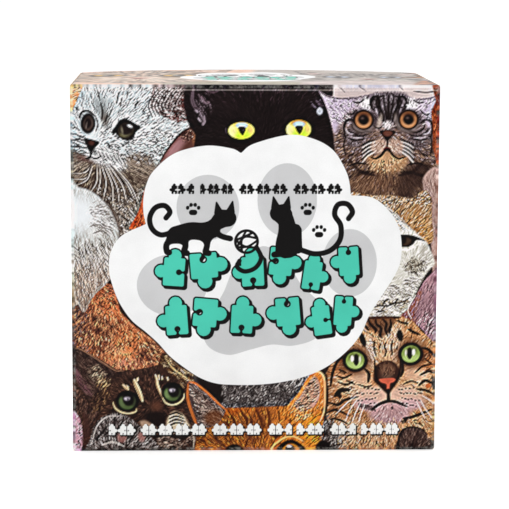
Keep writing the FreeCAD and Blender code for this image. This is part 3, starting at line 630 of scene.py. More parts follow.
def bengal(p):
    """The spotted cat at the bottom right, and its ear."""
    ear = p.area([(48, 48.6), (46.2, 47.2), (44.2, 45), (42.6, 42.2), (41.2, 39.6), (39.8, 37.4),
        (38.2, 35.7), (40.2, 34), (43, 32), (45.6, 29.6), (48, 27)], 0.25)
    p.tint(ear, "97767c")
    p.tint(ear * p.area([(38, 36), (42.4, 42.5), (43.4, 41), (42, 37), (42.4, 33)], 0.6), "8f5638", 0.9)
    p.dabs(ear, (46.4, 36, 1.6, 4.5, 0, 1, "6d4e58", 0.6), (45.4, 43, 1.6, 3, 0, 1, "b8949a", 0.7))
    p.fur(ear, along(70), ("c4a4aa", "5c4048", "7d5e66", "a98890"), 4.5, 1.6, 0.6, 0.25)
    p.fur(ear * p.blob((45, 33.4), (3, 3), 0, 0.8), along(60), (INK, "d8bcc0"), 2.2, 2.0, 0.75, 0.25)
    head = p.area([(28.6, 35.4), (33, 35.6), (38.3, 35.6), (41, 34.6), (43.6, 32), (46, 29.6), (48, 28),
        (48, -1), (22.8, -1), (21.6, 3.4), (20, 7), (18.6, 9.4), (18.5, 13), (18.9, 17), (18.6, 20.2),
        (20, 22.8), (23, 25), (26, 28.6), (27.6, 32)], 0.25, rounded=False)
    p.ground(head, "a9784e", 5, "c99a6c", 0.6)
    p.dabs(head, (22, 21, 3.6, 4, 0, 2, "9a5f38", 0.7), (45.5, 22, 3, 4, 0, 2, "a9683c", 0.7),
        (34.6, 3, 12, 5, 0, 3, "cfa27c", 0.8), (37.0, 28.6, 1.5, 5, -6, 1.0, "e8ceb6", 0.9),
        (30.4, 26.8, 1.3, 4.2, 10, 0.8, "e8d2c0", 0.95), (24, 30, 5, 3.4, 50, 2, "b08a6c", 0.7),
        (20.6, 14, 2.4, 8, 0, 1.6, "8a5c3c", 0.7))
    for centre, radii, turn in (((34.4, 29.4), (2.4, 5), 0), ((25.6, 17), (4.2, 2.2), -20),
            ((43.4, 18.4), (3.6, 2), 20), ((24, 5), (4, 2.6), 20)):
        p.tint(head * p.blob(centre, radii, turn, 1.8), "ecd0b4", 0.8)
    for centre in ((22.6, 24.4), (44.8, 25.6), (29.6, 19.4), (40.6, 20.4)):
        p.tint(head * p.blob(centre, (1.8, 1.5), 0, 1.0), "b0602f", 0.7)
    p.fur(head, away(35, 20), ("dcb68c", "7d5030", "b9865a", "e6ccac", "5c3820"), 6.0, 1.2, 0.5)
    p.fur(head * (np.hypot(p.u - 35, p.v - 18) > 8), away(35, 18, 0.5), (INK, "2c1a12"), 0.22, 2.4, 0.85,
        0.3, 1.0, 0.4)
    # muzzle
    for cu, cv in ((28.2, 19.2), (41.6, 20.4)):
        p.dabs(EVERYWHERE, (cu, cv, 2.8, 2.0, 0, 1.2, "dcb89c", 0.8))
    for s, cu in ((-1, 30.6), (1, 39.9)):
        p.dabs(EVERYWHERE, (cu, 14, 4.9, 3.0, s * -12, 1, "d9b6a4", 0.9),
            (cu + s, 12.2, 3.2, 1.6, 0, 0.8, "c4a2a6", 0.8))
    p.dabs(EVERYWHERE, (35.6, 10.0, 5.6, 2.9, 0, 0.8, "bd9a9c", 0.95))
    p.fur(p.blob((35.6, 10.0), (5.6, 2.9), 0, 0.8), away(35.4, 14), ("e2cccb", "7f5f60", "a98688"), 3.5,
        1.2, 0.6)
    # forehead
    p.line([(28.8, 35.1), (33, 35.4), (38.2, 35.4)], INK, 0.7, 0.9)
    p.patch([(29.2, 35.4), (36.4, 35.5), (35.2, 32), (33.4, 30.4), (31.6, 31.6), (29.6, 33)], 0.4, "5a3a26",
        0.7)
    for pts, w in (([(29.6, 35), (30.4, 33.4), (31.6, 32.4), (31.4, 31.2)], 0.8),
            ([(31.6, 35), (31.8, 33.6), (33, 32.6), (32.8, 30.6), (33.4, 30)], 0.8),
            ([(33.4, 35), (34.4, 33.8), (34.2, 32.2), (34.8, 30.4)], 0.8),
            ([(35.4, 35), (35.6, 33.4), (35.2, 32), (35.4, 31)], 0.8), ([(28.6, 33.6), (29.8, 32)], 0.8),
            ([(37, 34.6), (38.6, 34), (40.2, 33.8)], 0.6), ([(40, 32.4), (41.4, 31.6), (43.4, 30.8)], 0.8),
            ([(31.4, 29.4), (31.2, 27.4), (31.9, 25)], 0.55), ([(33, 28.6), (32.6, 27)], 0.4),
            ([(36, 29.4), (35.8, 27.6), (36, 25.4)], 0.55), ([(34.4, 29), (34, 27.6), (34.4, 26.4),
            (34, 25)], 0.5), ([(37.4, 28), (37.2, 26.8)], 0.4), ([(43, 32.8), (44.6, 31)], 0.5)):
        p.line(pts, INK, w, 0.9)
    p.dabs(EVERYWHERE, (38.0, 30.6, 0.85, 1.5, 8, 0.25, "120c0a"),
        (28.2, 29.6, 0.75, 2.0, 18, 0.25, "120c0a"))
    # eyes
    for cu, cv, tilt in ((26.3, 24.0, -8), (40.9, 25.7, 8)):
        p.dabs(EVERYWHERE, (cu, cv, 4.3, 3.9, tilt, 1.2, "4a3020", 0.6),
            (cu, cv, 3.3, 3.05, tilt, 0.3, "0f0a09"), (cu, cv, 2.4, 2.25, tilt, 0.2, "869a55"),
            (cu, cv - 0.9, 1.9, 1.1, tilt, 0.4, "a9bf7c", 0.85), (cu, cv + 1.1, 1.9, 0.9, tilt, 0.4,
            "64703c", 0.8))
        side = 1 if cu > 30 else -1
        p.dabs(EVERYWHERE, (cu - side * 0.3, cv + 0.2, 0.75, 1.5, 0, 0.2, "0c0908"),
            (cu + side * 0.75, cv + 0.5, 0.42, 0.8, 0, 0.18, "f4f7f4"),
            (cu - side * 1.3, cv + 0.4, 0.3, 0.8, 0, 0.2, "d5dcc0", 0.8))
    p.lines(([(43.8, 27.4), (45.6, 26.8), (47.4, 24.8)], INK, 0.8),
        ([(28.8, 21.8), (30, 20.4), (29.8, 18)], INK, 0.9, 0.9),
        ([(38.6, 24), (38.9, 21.6), (38.4, 19.6)], INK, 0.8, 0.9),
        ([(23.4, 25.2), (21.6, 23.6), (20.4, 20.4), (20, 17)], INK, 0.8))
    # nose
    p.patch([(31.2, 20), (31.6, 22.2), (33.2, 23.6), (35.4, 23.9), (37.2, 23), (38.2, 20.8), (37.8, 18.6),
        (36.4, 16.6), (35.4, 15.2), (34.4, 15.4), (32.8, 17), (31.4, 18.4)], 0.35, "38231b")
    p.dabs(EVERYWHERE, (34.8, 22, 1.9, 1.5, 0, 0.8, "6b4d38", 0.9),
        (34.7, 20.6, 1.6, 2.2, 0, 0.9, "7a5b49", 0.8))
    p.fur(p.blob((34.8, 21.6), (2.6, 2.0), 0, 0.5), along(95), (INK, "8a6a52", "5c3f30"), 5, 1.0, 0.6)
    p.patch([(32.4, 18.9), (34, 19.2), (36.2, 19.3), (37, 18.8), (36.4, 18.2), (35.6, 17.8), (35.3, 16),
        (34.8, 16), (34.6, 17.6), (33.4, 18.1)], 0.2, "c2624a")
    for s, foot in ((-1, 33.0), (1, 36.8)):
        p.line([(34.8 + s * 3.4, 24.4), (34.9 + s * 3.3, 22.0), (34.8 + s * 2.9, 19.6), (foot, 18.0)],
            "1c100c", 0.7, 0.85)
    p.line([(35.1, 16), (35.2, 13.2)], INK, 0.9, 0.95, taper=False)
    p.line([(30.9, 10.7), (31.8, 11.6), (33.2, 12.5), (35.2, 13.1), (37.2, 12.9), (38.8, 12.2),
        (40.4, 11.6)], INK, 0.85, 0.98)
    p.dabs(EVERYWHERE, (36.2, 11.3, 0.3, 0.4, 0, 0.15, INK))
    # whisker dots and cheek marks
    for s, cu in ((-1, 33.2), (1, 37.4)):
        for row, (v, n) in enumerate(((16.2, 5), (15.2, 7), (13.9, 6), (12.6, 5))):
            for k in range(n):
                u = cu + s * (0.6 + row * 0.35 + k * 0.9 + 0.15 * math.sin(5 * k + row))
                size = 0.3 + 0.12 * math.sin(3 * k + 2 * row)
                p.dabs(EVERYWHERE, (u, v - 0.12 * k * (row - 1) + 0.12 * math.sin(4 * k + row), size, 0.2,
                    s * -15, 0.15, INK, 0.85))
    for k in range(8):
        p.line([(27.4 + k * 0.55, 12.6 - 0.1 * k), (27.6 + k * 0.6, 11.2 - 0.12 * k)], INK, 0.4, 0.85)
    for pts, w in (([(19.4, 12.8), (22, 12.2), (23.6, 13.4), (27.4, 14.4)], 0.8),
            ([(21, 14.4), (22.6, 16), (25, 16.2)], 1.3), ([(21.8, 15.8), (22.6, 14)], 1.2),
            ([(19, 10), (21.4, 10.8), (25, 9.2)], 0.7), ([(20.2, 8.6), (22.8, 8), (24.6, 7)], 0.6),
            ([(21.4, 20), (23.4, 19.4), (25.6, 20.4)], 0.6), ([(21.6, 18.4), (24, 17.6), (26, 18.4)], 0.6),
            ([(22, 21.6), (24, 20.8)], 0.6), ([(24, 18.8), (26.4, 17.6)], 0.5),
            ([(27, 17.6), (29.4, 17), (31, 17.4)], 0.45), ([(39, 17.6), (41, 18.4), (43, 18)], 0.5),
            ([(43, 17.2), (45, 18.6), (47.4, 17.4)], 0.8), ([(42.4, 16.4), (45, 16), (47.4, 14.8)], 0.7),
            ([(42, 20.6), (44, 22.4), (46.4, 23)], 0.55), ([(43.4, 20), (45.4, 21), (47.4, 20.6)], 0.7),
            ([(39, 8.4), (42, 9), (46.8, 11)], 0.8), ([(38.6, 7.6), (40.2, 8)], 0.8),
            ([(46.6, 20), (47, 16)], 0.6), ([(44.6, 24.4), (46.8, 22.8)], 0.5),
            ([(24, 3.8), (27, 4.4), (29, 3.6)], 0.5)):
        p.line(pts, INK, w, 0.9)
    p.dabs(EVERYWHERE, (45.6, 17.2, 0.7, 0.6, 0, 0.2, "b5683a"))
    for a, b, c in (((27, 13.6), (25, 10.6), (24, 7.8)), ((28, 13), (26.6, 10), (25.8, 7.6)),
            ((29, 12.4), (28, 9.6), (27.4, 7.4)), ((43.6, 13.4), (45, 11), (46.8, 8.4)),
            ((42.6, 13), (43.8, 10.6), (45, 8.4)), ((41, 35), (40, 37.6), (42, 41.4)),
            ((26.6, 14.6), (23.6, 12), (21.4, 9.6)), ((44, 14.6), (46, 13.4), (47.4, 12))):
        p.line([a, b, c], "f6efe6", 0.28, 0.85)
    p.fur(p.area([(24, 7), (46, 8), (48, -1), (23, -1)], 0.6), away(35, 16), ("8a5a34", "ecd0aa", "5c3820"),
        1.2, 1.7, 0.6)
    dark = p.area([(37.8, -1), (38, 3.4), (38.9, 5.3), (41, 6.2), (43.8, 5.8), (45.4, 4.6), (45.8, 3),
        (48, 2.4), (48, -1)], 0.25)
    p.tint(dark, "3d2c27")
    p.fur(dark, away(41, -4), ("7a6459", "1a1210", "957e72", "4d3a33"), 5, 1.6, 0.65, 0.2)
    p.lines(([(37.9, 0), (38.2, 3.6), (39.2, 5.4), (41.2, 6.1), (43.8, 5.7), (45.4, 4.4)], INK, 0.5, 0.9),
        ([(18.8, 20.4), (18.6, 13), (18.8, 9.4)], INK, 0.9, 0.8))


def rust_fur(p):
    """The rust-coloured back at the left."""
    fur = p.area([(-48, 41), (-45.6, 39), (-44.3, 37.2), (-43, 39.6), (-41.4, 42), (-38.6, 44.6),
        (-36.6, 44), (-35, 37), (-31, 33), (-27, 30), (-22, 25), (-26, 21.6), (-34.5, 21), (-41, 25),
        (-48, 27)], 0.3, rounded=False)
    p.tint(fur, "8a5541")
    p.dabs(fur, (-37.6, 37.4, 3.6, 5.4, 30, 2.4, "cc7348", 0.95),
        (-33.4, 27.4, 6.2, 3.6, 22, 2.4, "e08c56", 1.0), (-36.8, 27.0, 3.8, 1.2, -12, 1.2, "e2a078", 0.9),
        (-32.6, 30.4, 2.6, 3.4, 20, 1.6, "c06f45", 0.9), (-27.4, 26.4, 3, 3.4, -30, 2, "5d3a30", 0.9),
        (-40.4, 33.2, 3.6, 2.4, -40, 1.6, "33211d", 0.95), (-43, 29.5, 5.4, 5, -30, 2.4, "552e24", 0.9),
        (-36.4, 33.6, 2.2, 1.4, 30, 1.2, "6e3c2a", 0.7))
    p.tint(fur * smooth((-42.6 - p.u) / 4) * p.above(29, 3), "4a3b3a", 0.9)
    p.dabs(fur, (-34, 23.4, 4, 1.2, 5, 0.8, "c98a72", 0.8))
    p.fur(fur, away(-40, 46), ("e39a66", "4e2f26", "b5683f", "d08a60"), 6.0, 1.1, 0.4)
    p.fur(fur, away(-40, 46), ("1b110e", "33201a"), 2.4, 0.7, 0.75, 0.4, 0.5)
    p.fur(fur, away(-40, 46), ("ffc090", "f2ab78"), 1.6, 1.3, 0.5, 0.3)
    p.fur(fur * smooth((-41 - p.u) / 4), along(-60), (INK, "6a5452", "8a7a78"), 3.4, 0.9, 0.6, 0.5)
    p.fur(fur * p.above(36, 4), away(-44, 46), (INK, "5a2f24"), 2.4, 0.9, 0.75, 0.3)
    for k in range(6):
        p.line([(-39.4 + 1.6 * k, 26.2 + 0.5 * k), (-37.6 + 1.6 * k, 28 + 0.5 * k)], "5c3220", 0.3, 0.6)


def tortoiseshell(p):
    """The dark kitten at the bottom left."""
    body = p.area([(-48, 28), (-45, 27.2), (-40, 24.2), (-36, 21.6), (-32, 21.5), (-27, 22.4), (-25, 23),
        (-23.6, 26), (-20, 23), (-14, 19.8), (-8, 19), (-8, -1), (-48, -1)], 0.25, rounded=False)
    p.ground(body, "2d201b", 4, "57402f", 0.6)
    p.fur(body, away(-27, 12), ("0f0a09", "4d372d", "2a1c18", "7a5846"), 6.0, 1.2, 0.55)
    # left ear
    ear = p.area([(-47.6, 27.4), (-44.8, 26.8), (-40, 24), (-36.4, 21.6), (-38.4, 18.4), (-41.2, 15.2),
        (-43.4, 14), (-46, 18.5)], 0.3)
    p.tint(ear, "33241f")
    p.patch([(-46.8, 22.6), (-45.2, 20.4), (-43.6, 18.2), (-42.0, 16.4), (-42.6, 14.6), (-44.6, 16.0),
        (-46.4, 19.2)], 0.5, "765357", 0.9)
    p.fur(ear, along(-48), ("120c0b", "6b564b", "3f2f29"), 7, 1.5, 0.65, 0.25)
    p.fur(p.blob((-41.0, 20.8), (2.8, 2.0), -35, 0.8), along(-150), ("d3c1a4", "8f7a66", INK), 6, 1.5, 0.7,
        0.4, 0.4, 0.4)
    p.fur(p.blob((-39.4, 18.4), (1.8, 2.2), -30, 0.8), along(-130), ("d9bf92", "a8855c", INK), 6, 1.2, 0.75,
        0.4)
    p.line([(-47.5, 27.6), (-45, 27), (-40, 23.9), (-36.4, 21.6), (-34, 21.4)], "9a7259", 0.35, 0.8)
    p.fur(p.area([(-41.6, 16), (-39.8, 16.6), (-38.2, 17.4), (-38, 15), (-40.0, 11), (-42.4, 10)], 0.5),
        along(-110), ("b08a60", "4d372a", INK), 5, 1.3, 0.7, 0.25)
    # right ear
    p.patch([(-25, 23), (-23.6, 26.2), (-20, 22.8), (-14.6, 19.4), (-14.4, 17), (-17, 16.6), (-20, 19),
        (-24, 20.6)], 0.4, "3f2a20", 0.9)
    p.fur(p.area([(-24.6, 23.4), (-23.4, 25.8), (-19.4, 22.4), (-14.4, 19.2), (-14.4, 16.6), (-17.6, 17.4),
        (-21, 20)], 0.4), along(-35), ("d9c49c", "8f6a44", INK, "5f452f"), 8, 1.2, 0.75, 0.4)
    p.line([(-23.5, 25.4), (-21.4, 22.2), (-18, 19.6), (-14.6, 17.4)], "c7a878", 0.35, 0.8)
    # streaks over the eyes
    for pts, w in (([(-31.4, 19.2), (-31.1, 18.2), (-30.4, 16.6), (-29.7, 14.8), (-29.2, 13.2)], 1.05),
            ([(-30.4, 19.6), (-30.7, 18.6)], 0.7), ([(-34.4, 17.8), (-33.6, 17.0), (-32.8, 16.4)], 0.7),
            ([(-33.4, 17.6), (-32.9, 16.9)], 0.45), ([(-25.9, 20.5), (-25.5, 19.2), (-25.3, 17.6),
            (-24.5, 15.6), (-23.8, 13.9)], 0.75), ([(-25, 20.4), (-24.9, 19)], 0.5),
            ([(-24.2, 20), (-24.0, 19.0)], 0.45), ([(-22.8, 19.8), (-22.5, 18.8)], 0.5)):
        p.lines((pts, "dcc69c", w, 0.95), ([(u - 0.25, v) for u, v in pts], "8a6a48", w * 0.3, 0.7))
    # eyes
    for cu, cv, r, left in ((-33.2, 13.3, 2.3, 0.8), (-21.4, 15.5, 2.25, 1.0)):
        p.dabs(EVERYWHERE, (cu, cv, r + 0.7, r + 0.6, 0, 0.3, "0c0807"),
            (cu, cv, r, r * 0.95, 0, 0.3, "272c20"))
        rim = p.blob((cu, cv), (r, r * 0.95), 0, 0.3)
        p.dabs(rim, (cu - 1.3, cv - 0.4, 0.9, 1.6, 15, 0.5, "7b9660", 0.8 * left),
            (cu + 0.3, cv - 1.6, 1.5, 0.7, 0, 0.4, "556a40", 0.85),
            (cu + 1.6, cv + 0.2, 0.5, 1.2, 0, 0.4, "48553a", 0.8))
        p.dabs(EVERYWHERE, (cu + 0.3, cv + 0.4, 1.45, 1.55, 0, 0.35, "0f0b0a"),
            (cu - 0.1, cv + 0.8, 0.8, 0.6, 0, 0.3, "c4c0cc", 0.9),
            (cu + 0.1, cv + 1.75, 1.9, 0.6, 0, 0.4, "0c0807", 0.8),
            (cu + 0.15, cv + 0.5, 0.25, 0.4, 0, 0.2, "3f3a44", 0.8))
    p.lines(([(-37, 13.2), (-36.4, 11.6), (-34.8, 10.4), (-32.6, 10.1), (-31.0, 10.6), (-30.8, 11.4)],
        "cfb48a", 0.5, 0.95), ([(-24.0, 14.2), (-23.2, 12.9), (-21.6, 12.3), (-19.8, 12.8), (-18.6, 14),
        (-18.3, 15.4)], "cfb88c", 0.5, 0.95), ([(-19.4, 18.2), (-18.4, 16.8)], "a58c66", 0.35, 0.8))
    # nose and muzzle
    p.dabs(EVERYWHERE, (-25.5, 12, 1.5, 1.3, 0, 1, "6b4634", 0.75))
    p.patch([(-28.6, 9.6), (-26, 10.4), (-23.4, 10), (-23.6, 7.8), (-24.8, 6.4), (-26.8, 6.8)], 0.6,
        "140d0c", 0.85)
    p.patch([(-30, 7.8), (-28.6, 8.2), (-26.8, 7.2), (-25.6, 6.2), (-26.8, 5.4), (-29, 6)], 0.5, "b99d84",
        0.85)
    p.patch([(-23, 6), (-22.6, 9), (-21, 10.6), (-18.8, 9.8), (-17.6, 8), (-17, 6.4), (-18.6, 5.6),
        (-21, 5)], 0.5, "d9c8a8", 0.9)
    for k in range(4):
        p.line([(-22.4, 6.6 + k * 1.0), (-20.4, 7.5 + k * 0.9), (-17.6 - 0.4 * k, 6.9 + k * 0.85)], INK,
            0.55, 0.9)
    p.fur(p.blob((-20.4, 3), (5, 2.2), 5, 0.8), along(190), ("b09a8c", "4a3830", "cdbba9", INK), 8, 1.3,
        0.7, 0.25)
    p.lines(([(-16.6, 6), (-15.8, 3.4), (-16.0, 0.6)], "cdbba4", 0.4, 0.7),
        ([(-26.6, 3.6), (-23, 4.4), (-19, 3.6), (-16.4, 4.4)], INK, 0.9, 0.8))
    p.fur(p.area([(-47.5, 18), (-44, 14), (-41, 10), (-43, 5), (-47.5, 10)], 0.6), along(-100),
        ("8f6d5a", "4d372f", INK, "6f564d"), 6, 1.3, 0.6, 0.25)


def corner_paw(p):
    """A pink ear in the bottom left corner, with a grey paw beside it."""
    ear = p.area([(-48, 10.6), (-46.6, 10.2), (-45.4, 8), (-44.9, 4.6), (-45, 1.4), (-46, -1), (-48, -1)],
        0.25)
    p.tint(ear, "c79aa4")
    p.fur(ear, along(80), (INK, "8f5f66", "e8c8cc"), 5, 0.9, 0.75, 0.5)
    p.patch([(-45, 10), (-43.4, 9), (-43, 4), (-43.4, -1), (-45.2, -1), (-44.8, 5)], 0.4, "4a2f28", 0.7)
    paw = p.area([(-43, -1), (-42.8, 3.4), (-41.4, 7.4), (-38.4, 9.8), (-34.6, 9.9), (-31.6, 8),
        (-29.6, 6.4), (-27.4, 4), (-25.4, -1)], 0.35)
    p.tint(paw, "4c413d")
    p.fur(paw, away(-36, -4), ("0e0b0a", "9a9390", "2d2827", "c3bdb8"), 6.0, 1.7, 0.7, 0.3)
    for k in range(6):
        p.line([(-41.4 + k * 2.1, 3.2 + 1.2 * math.sin(k)), (-39.6 + k * 2.1, 6.2 - 0.5 * abs(k - 2)),
            (-38.4 + k * 2.0, 8.2 - 0.7 * abs(k - 2))], INK, 0.7, 0.75)
    p.line([(-42.6, 2), (-41.2, 6.6), (-38.4, 9.2), (-34.4, 9.4)], "b7b0aa", 0.4, 0.8)
    p.dabs(EVERYWHERE, (-34.7, 3.6, 1.2, 1.4, 0, 0.5, "9a6f68", 0.9),
        (-29.5, 3.8, 1.0, 1.3, 0, 0.5, "a27870", 0.9))
    p.line([(-40, 1.6), (-37, 2.4), (-34, 1.2)], "cfc8c0", 0.6, 0.7)


def ginger_cat(p):
    """The ginger cat at the bottom, cut off below its eyes."""
    back = p.area([(-16, 20), (-8, 19), (0, 18), (8, 19), (15, 21.5), (14, 17), (8, 11), (-8, 10),
        (-14, 14)], 0.3, rounded=False)
    p.tint(back, "454140")
    p.tint(back * p.area([(-15, 20), (-9, 18.6), (-8, 14), (-6.6, 11.4), (-12, 14.4)], 0.6), "18110f", 0.95)
    p.fur(back * (p.u > -8.6), along(60), (INK, "a7a29e", "6e6866", "262120"), 7.5, 1.5, 0.75, 0.45, 0.5,
        0.5)
    p.fur(back * p.blob((12.4, 18.6), (3, 1.8), 20, 0.5), along(70), ("e5e0da", INK), 5, 1.4, 0.8, 0.4)
    face = p.area([(-16, 12), (-12, 11), (-8, 11.4), (-3, 11.4), (3, 11.7), (8, 11.8), (14, 13), (18.2, 10),
        (18, 6), (18, -1), (-15.6, -1), (-15, 6)], 0.35, rounded=False)
    p.tint(face, "7f4c2c")
    p.tint(face * smooth((p.u + 2) / 14), "dd8634", 0.95)
    p.tint(face * p.clouds(2.5) * smooth((4 - p.u) / 12), "51290f", 0.7)
    p.dabs(face, (-5, 10.6, 5, 1.2, 0, 0.8, "c8641e", 0.8), (14.8, 5.6, 3, 3.4, 0, 1.5, "f5a130", 0.9))
    p.fur(face, away(2, -6), ("f0a04a", "6b3312", "c5702a", "3a1c0b", "e58c34"), 5.0, 1.6, 0.6, 0.25)
    for pts, w in (([(0.4, 11), (1.8, 8), (2.4, 4.4)], 0.9), ([(3.4, 11.2), (4, 8.6), (3.8, 6)], 0.8),
            ([(-3.4, 10.8), (-2, 8), (-1.4, 5)], 0.8), ([(-6.6, 10.4), (-5, 7.4), (-4.6, 4.8)], 0.7),
            ([(6.4, 10.6), (6.6, 8)], 0.6), ([(9.6, 8.6), (9.2, 6.8)], 0.5),
            ([(-1.4, 3.4), (-2.6, 0.6)], 0.6), ([(4.6, 4.6), (5.8, 3.2)], 0.9)):
        p.line(pts, "4a220d", w, 0.6)
    p.dabs(EVERYWHERE, (6.2, 4.6, 0.9, 1.2, -30, 0.4, "2a1208", 0.7))
    # left ear
    left = p.area([(-17.6, 18.2), (-16.2, 18.4), (-13, 16.4), (-9.6, 13.2), (-7.6, 10.8), (-10, 7),
        (-14, 6.4), (-15.6, 9.6), (-17, 14)], 0.25)
    p.tint(left, "5d4a44")
    p.fur(left, along(-32), ("1c1310", "a08a7e", "3b2c27", "c5b2a4"), 6.5, 1.9, 0.7, 0.25, 0.5, 0.3)
    p.dabs(left, (-10.4, 8.6, 2.6, 2.2, 0, 1, "7d4a28", 0.7))
    p.lines(([(-17.3, 18), (-17.4, 14), (-16.2, 9.8), (-15, 6.6)], "b26a38", 0.8, 0.95),
        ([(-17.2, 18.4), (-15.4, 18), (-12.4, 15.6), (-9.4, 12.6), (-7.4, 10.9)], "c07038", 0.55, 0.95))
    # right ear
    right = p.area([(16.6, 21), (15, 20.6), (13.4, 18.6), (11.6, 15.4), (9.4, 12.8), (8.6, 11), (11, 8.4),
        (14.4, 9), (16.4, 10), (18.2, 11.6), (18.4, 15), (18.2, 19.4)], 0.25)
    p.tint(right, "df8a3e")
    p.fur(right, along(62), ("f6bc80", "b5642c", "7a4020", "f0a55c"), 5.5, 1.4, 0.6)
    inner = p.area([(15.8, 19.8), (14, 17.8), (12, 14.6), (10.4, 12.4), (12.4, 10.4), (15, 11.4),
        (16.8, 13.6), (17.2, 17.4)], 0.35)
    p.tint(inner, "c3977c")
    p.dabs(inner, (16.2, 13, 1.2, 3.4, 0, 0.6, "d9a48e", 0.8))
    p.fur(inner, along(-165), (INK, "5c3d30", "e8c4a4"), 4.4, 1.3, 0.75, 0.35)
    p.fur(p.blob((12.4, 9.8), (3.2, 1.8), 10, 0.8), along(-120), (INK, "f4c98c", "c5702a"), 4.6, 1.1, 0.8,
        0.4)
    p.lines(([(14.8, 20.6), (16.8, 21), (18.2, 19.4), (18.5, 15), (18.3, 10.6), (17.2, 7.6)], "f2b27c", 0.6,
        0.95), ([(18.9, 20), (19.1, 14), (18.8, 10)], INK, 0.7, 0.85))
    # eyes at the bottom edge
    p.patch([(-8.4, -1), (-7.4, 0.6), (-5.6, 1.7), (-3.6, 1.2), (-2, -1)], 0.3, "120b09")
    p.patch([(5, -1), (6.2, 0.9), (8, 2.4), (10, 2.8), (12, 1.9), (14.2, -0.2), (14, -1)], 0.25, "150c09")
    p.patch([(6.8, -1), (7.4, 0.5), (8.8, 1.7), (10.2, 1.8), (11.6, 0.9), (12.4, -1)], 0.2, "b0782a")
    p.dabs(EVERYWHERE, (9.4, 0.2, 1.3, 1.3, 0, 0.2, "2a1608"), (9.2, 1.1, 0.7, 0.35, 0, 0.15, "eef2f4"))
    p.line([(4, -0.4), (5.4, 1.6), (8, 3.4), (10.4, 3.7), (13, 2.4)], "f2bf74", 0.6, 0.8)
    p.fur(p.area([(17.6, -1), (18.6, 9), (21, 8), (22.4, 4), (24, -1)], 0.3), along(70),
        (INK, "8d8782", "3c3735", "c0bab4"), 8, 1.3, 0.8, 0.4)
    p.dabs(EVERYWHERE, (18.2, 0.1, 2.1, 2.5, 0, 0.3, "120d0c"))


def backdrop(p):
    """What shows between the cats and above them."""
    sliver = p.area([(-48, 97), (-44, 97), (-44.6, 94), (-45.4, 91), (-48, 88)], 0.3)
    p.tint(sliver, "e9b183")
    p.fur(sliver, along(20), (INK, "f5d3ae", "b5713e"), 4.0, 1.2, 0.8, 0.4)
    p.patch([(-22, 97), (-17.5, 97), (-17.5, 86), (-20, 88)], 0.3, "8a5a50")
    p.patch([(-26, 70), (-29, 70), (-30, 65), (-31.5, 61), (-33, 58), (-30, 59), (-27.5, 60.4),
        (-27.6, 66)], 0.3, "c2603a")
    strip = p.area([(19.4, 97), (48, 97), (48, 92), (19.4, 92)], 0.3, rounded=False)
    p.ground(strip, "cdbfbd", 4, "ddd2d0", 0.6)
    p.line([(40.5, 94.4), (44, 94.1), (47.4, 94.6)], "3a3034", 0.4, 0.8)
    for a, b in (((21, 96), (23, 94)), ((26, 96), (28.4, 94.4)), ((36.6, 96), (38, 94.6))):
        p.line([a, b], "6a5c5e", 0.3, 0.7)


def orange_edge(p):
    """Orange fur at the right edge."""
    edge = p.area([(45.2, 97), (48, 97), (48, 73), (46.8, 76), (45.8, 80), (45.7, 86), (45.2, 89),
        (46.4, 92), (45.8, 94)], 0.25, rounded=False)
    p.tint(edge, "8f4d2c")
    p.fur(edge, along(-80), (INK, "c9805a", "6a3420", "a85c38"), 6, 1.3, 0.75, 0.3)


def rust_gap(p):
    """Rust fur between the white kitten and the badge."""
    gap = p.area([(-26, 69.5), (-28.2, 69.5), (-29.2, 66), (-30.4, 62.6), (-32.4, 59), (-30, 59),
        (-27.5, 60.4), (-27.6, 66)], 0.3)
    p.tint(gap, "b9552f")
    p.fur(gap, along(-100), ("e07a44", INK, "7a2c18"), 5, 1.0, 0.8, 0.4)


def cats(p):
    """Every cat of the face, from the back one to the front one."""
    backdrop(p)
    pale_cat(p)
    rust_gap(p)
    black_cat(p)
    grey_tabby(p)
    orange_edge(p)
    right_neck(p)
    orange_white_cat(p)
    bengal(p)
    rust_fur(p)
    pale_ruff(p)
    tortoiseshell(p)
    ginger_cat(p)
    corner_paw(p)


# ---- shapes with crisp edges, kept as distances in millimetres (negative inside)


KNOB = 0.15  # radius of a knob, as a share of a piece's smaller side


def jigsaw(centre, size, tilt, tabs, round_off=0.5):
    """The outline of a jigsaw piece. tabs, clockwise from the top: 1 for a knob, -1 a hollow, 0 plain."""
    knob = KNOB * min(size)
    half = [size[0] / 2 - round_off, size[1] / 2 - round_off]
    grow = [[0, 0], [0, 0]]
    for side, tab in enumerate(tabs):
        if tab > 0:
            grow[1 - side % 2][0 if side in (0, 1) else 1] = 1.7 * knob
    low = np.array([-half[0] + grow[0][1], -half[1] + grow[1][1]])
    high = np.array([half[0] - grow[0][0], half[1] - grow[1][0]])
    corners = [(low[0], high[1]), (high[0], high[1]), (high[0], low[1]), (low[0], low[1])]
    points = []
    for side, tab in enumerate(tabs):
        start, end = np.array(corners[side]), np.array(corners[(side + 1) % 4])
        points.append(start)
        if tab:
            ahead = (end - start) / np.hypot(*(end - start))
            out = np.array([-ahead[1], ahead[0]])
            middle = (start + end) / 2 + out * tab * 0.85 * knob
            for turn in np.linspace(-145, 145, 11):
                a = math.radians(turn)
                points.append(middle + (ahead * math.sin(a) + out * tab * math.cos(a)) * knob)
    c, s = math.cos(math.radians(tilt)), math.sin(math.radians(tilt))
    turned = np.array(points) @ np.array([[c, s], [-s, c]])
    return turned + np.array(centre)


def field(p, shapes, grow=0.0, closed=True):
    """The distance to the nearest of the shapes, less grow, over a whole picture."""
    out = np.full(p.u.shape, FAR)
    for points in shapes:
        points = np.array(points, float)
        win, d = p.distance(points, closed, 2.5)
        out[win] = np.minimum(out[win], d - grow)
    return out


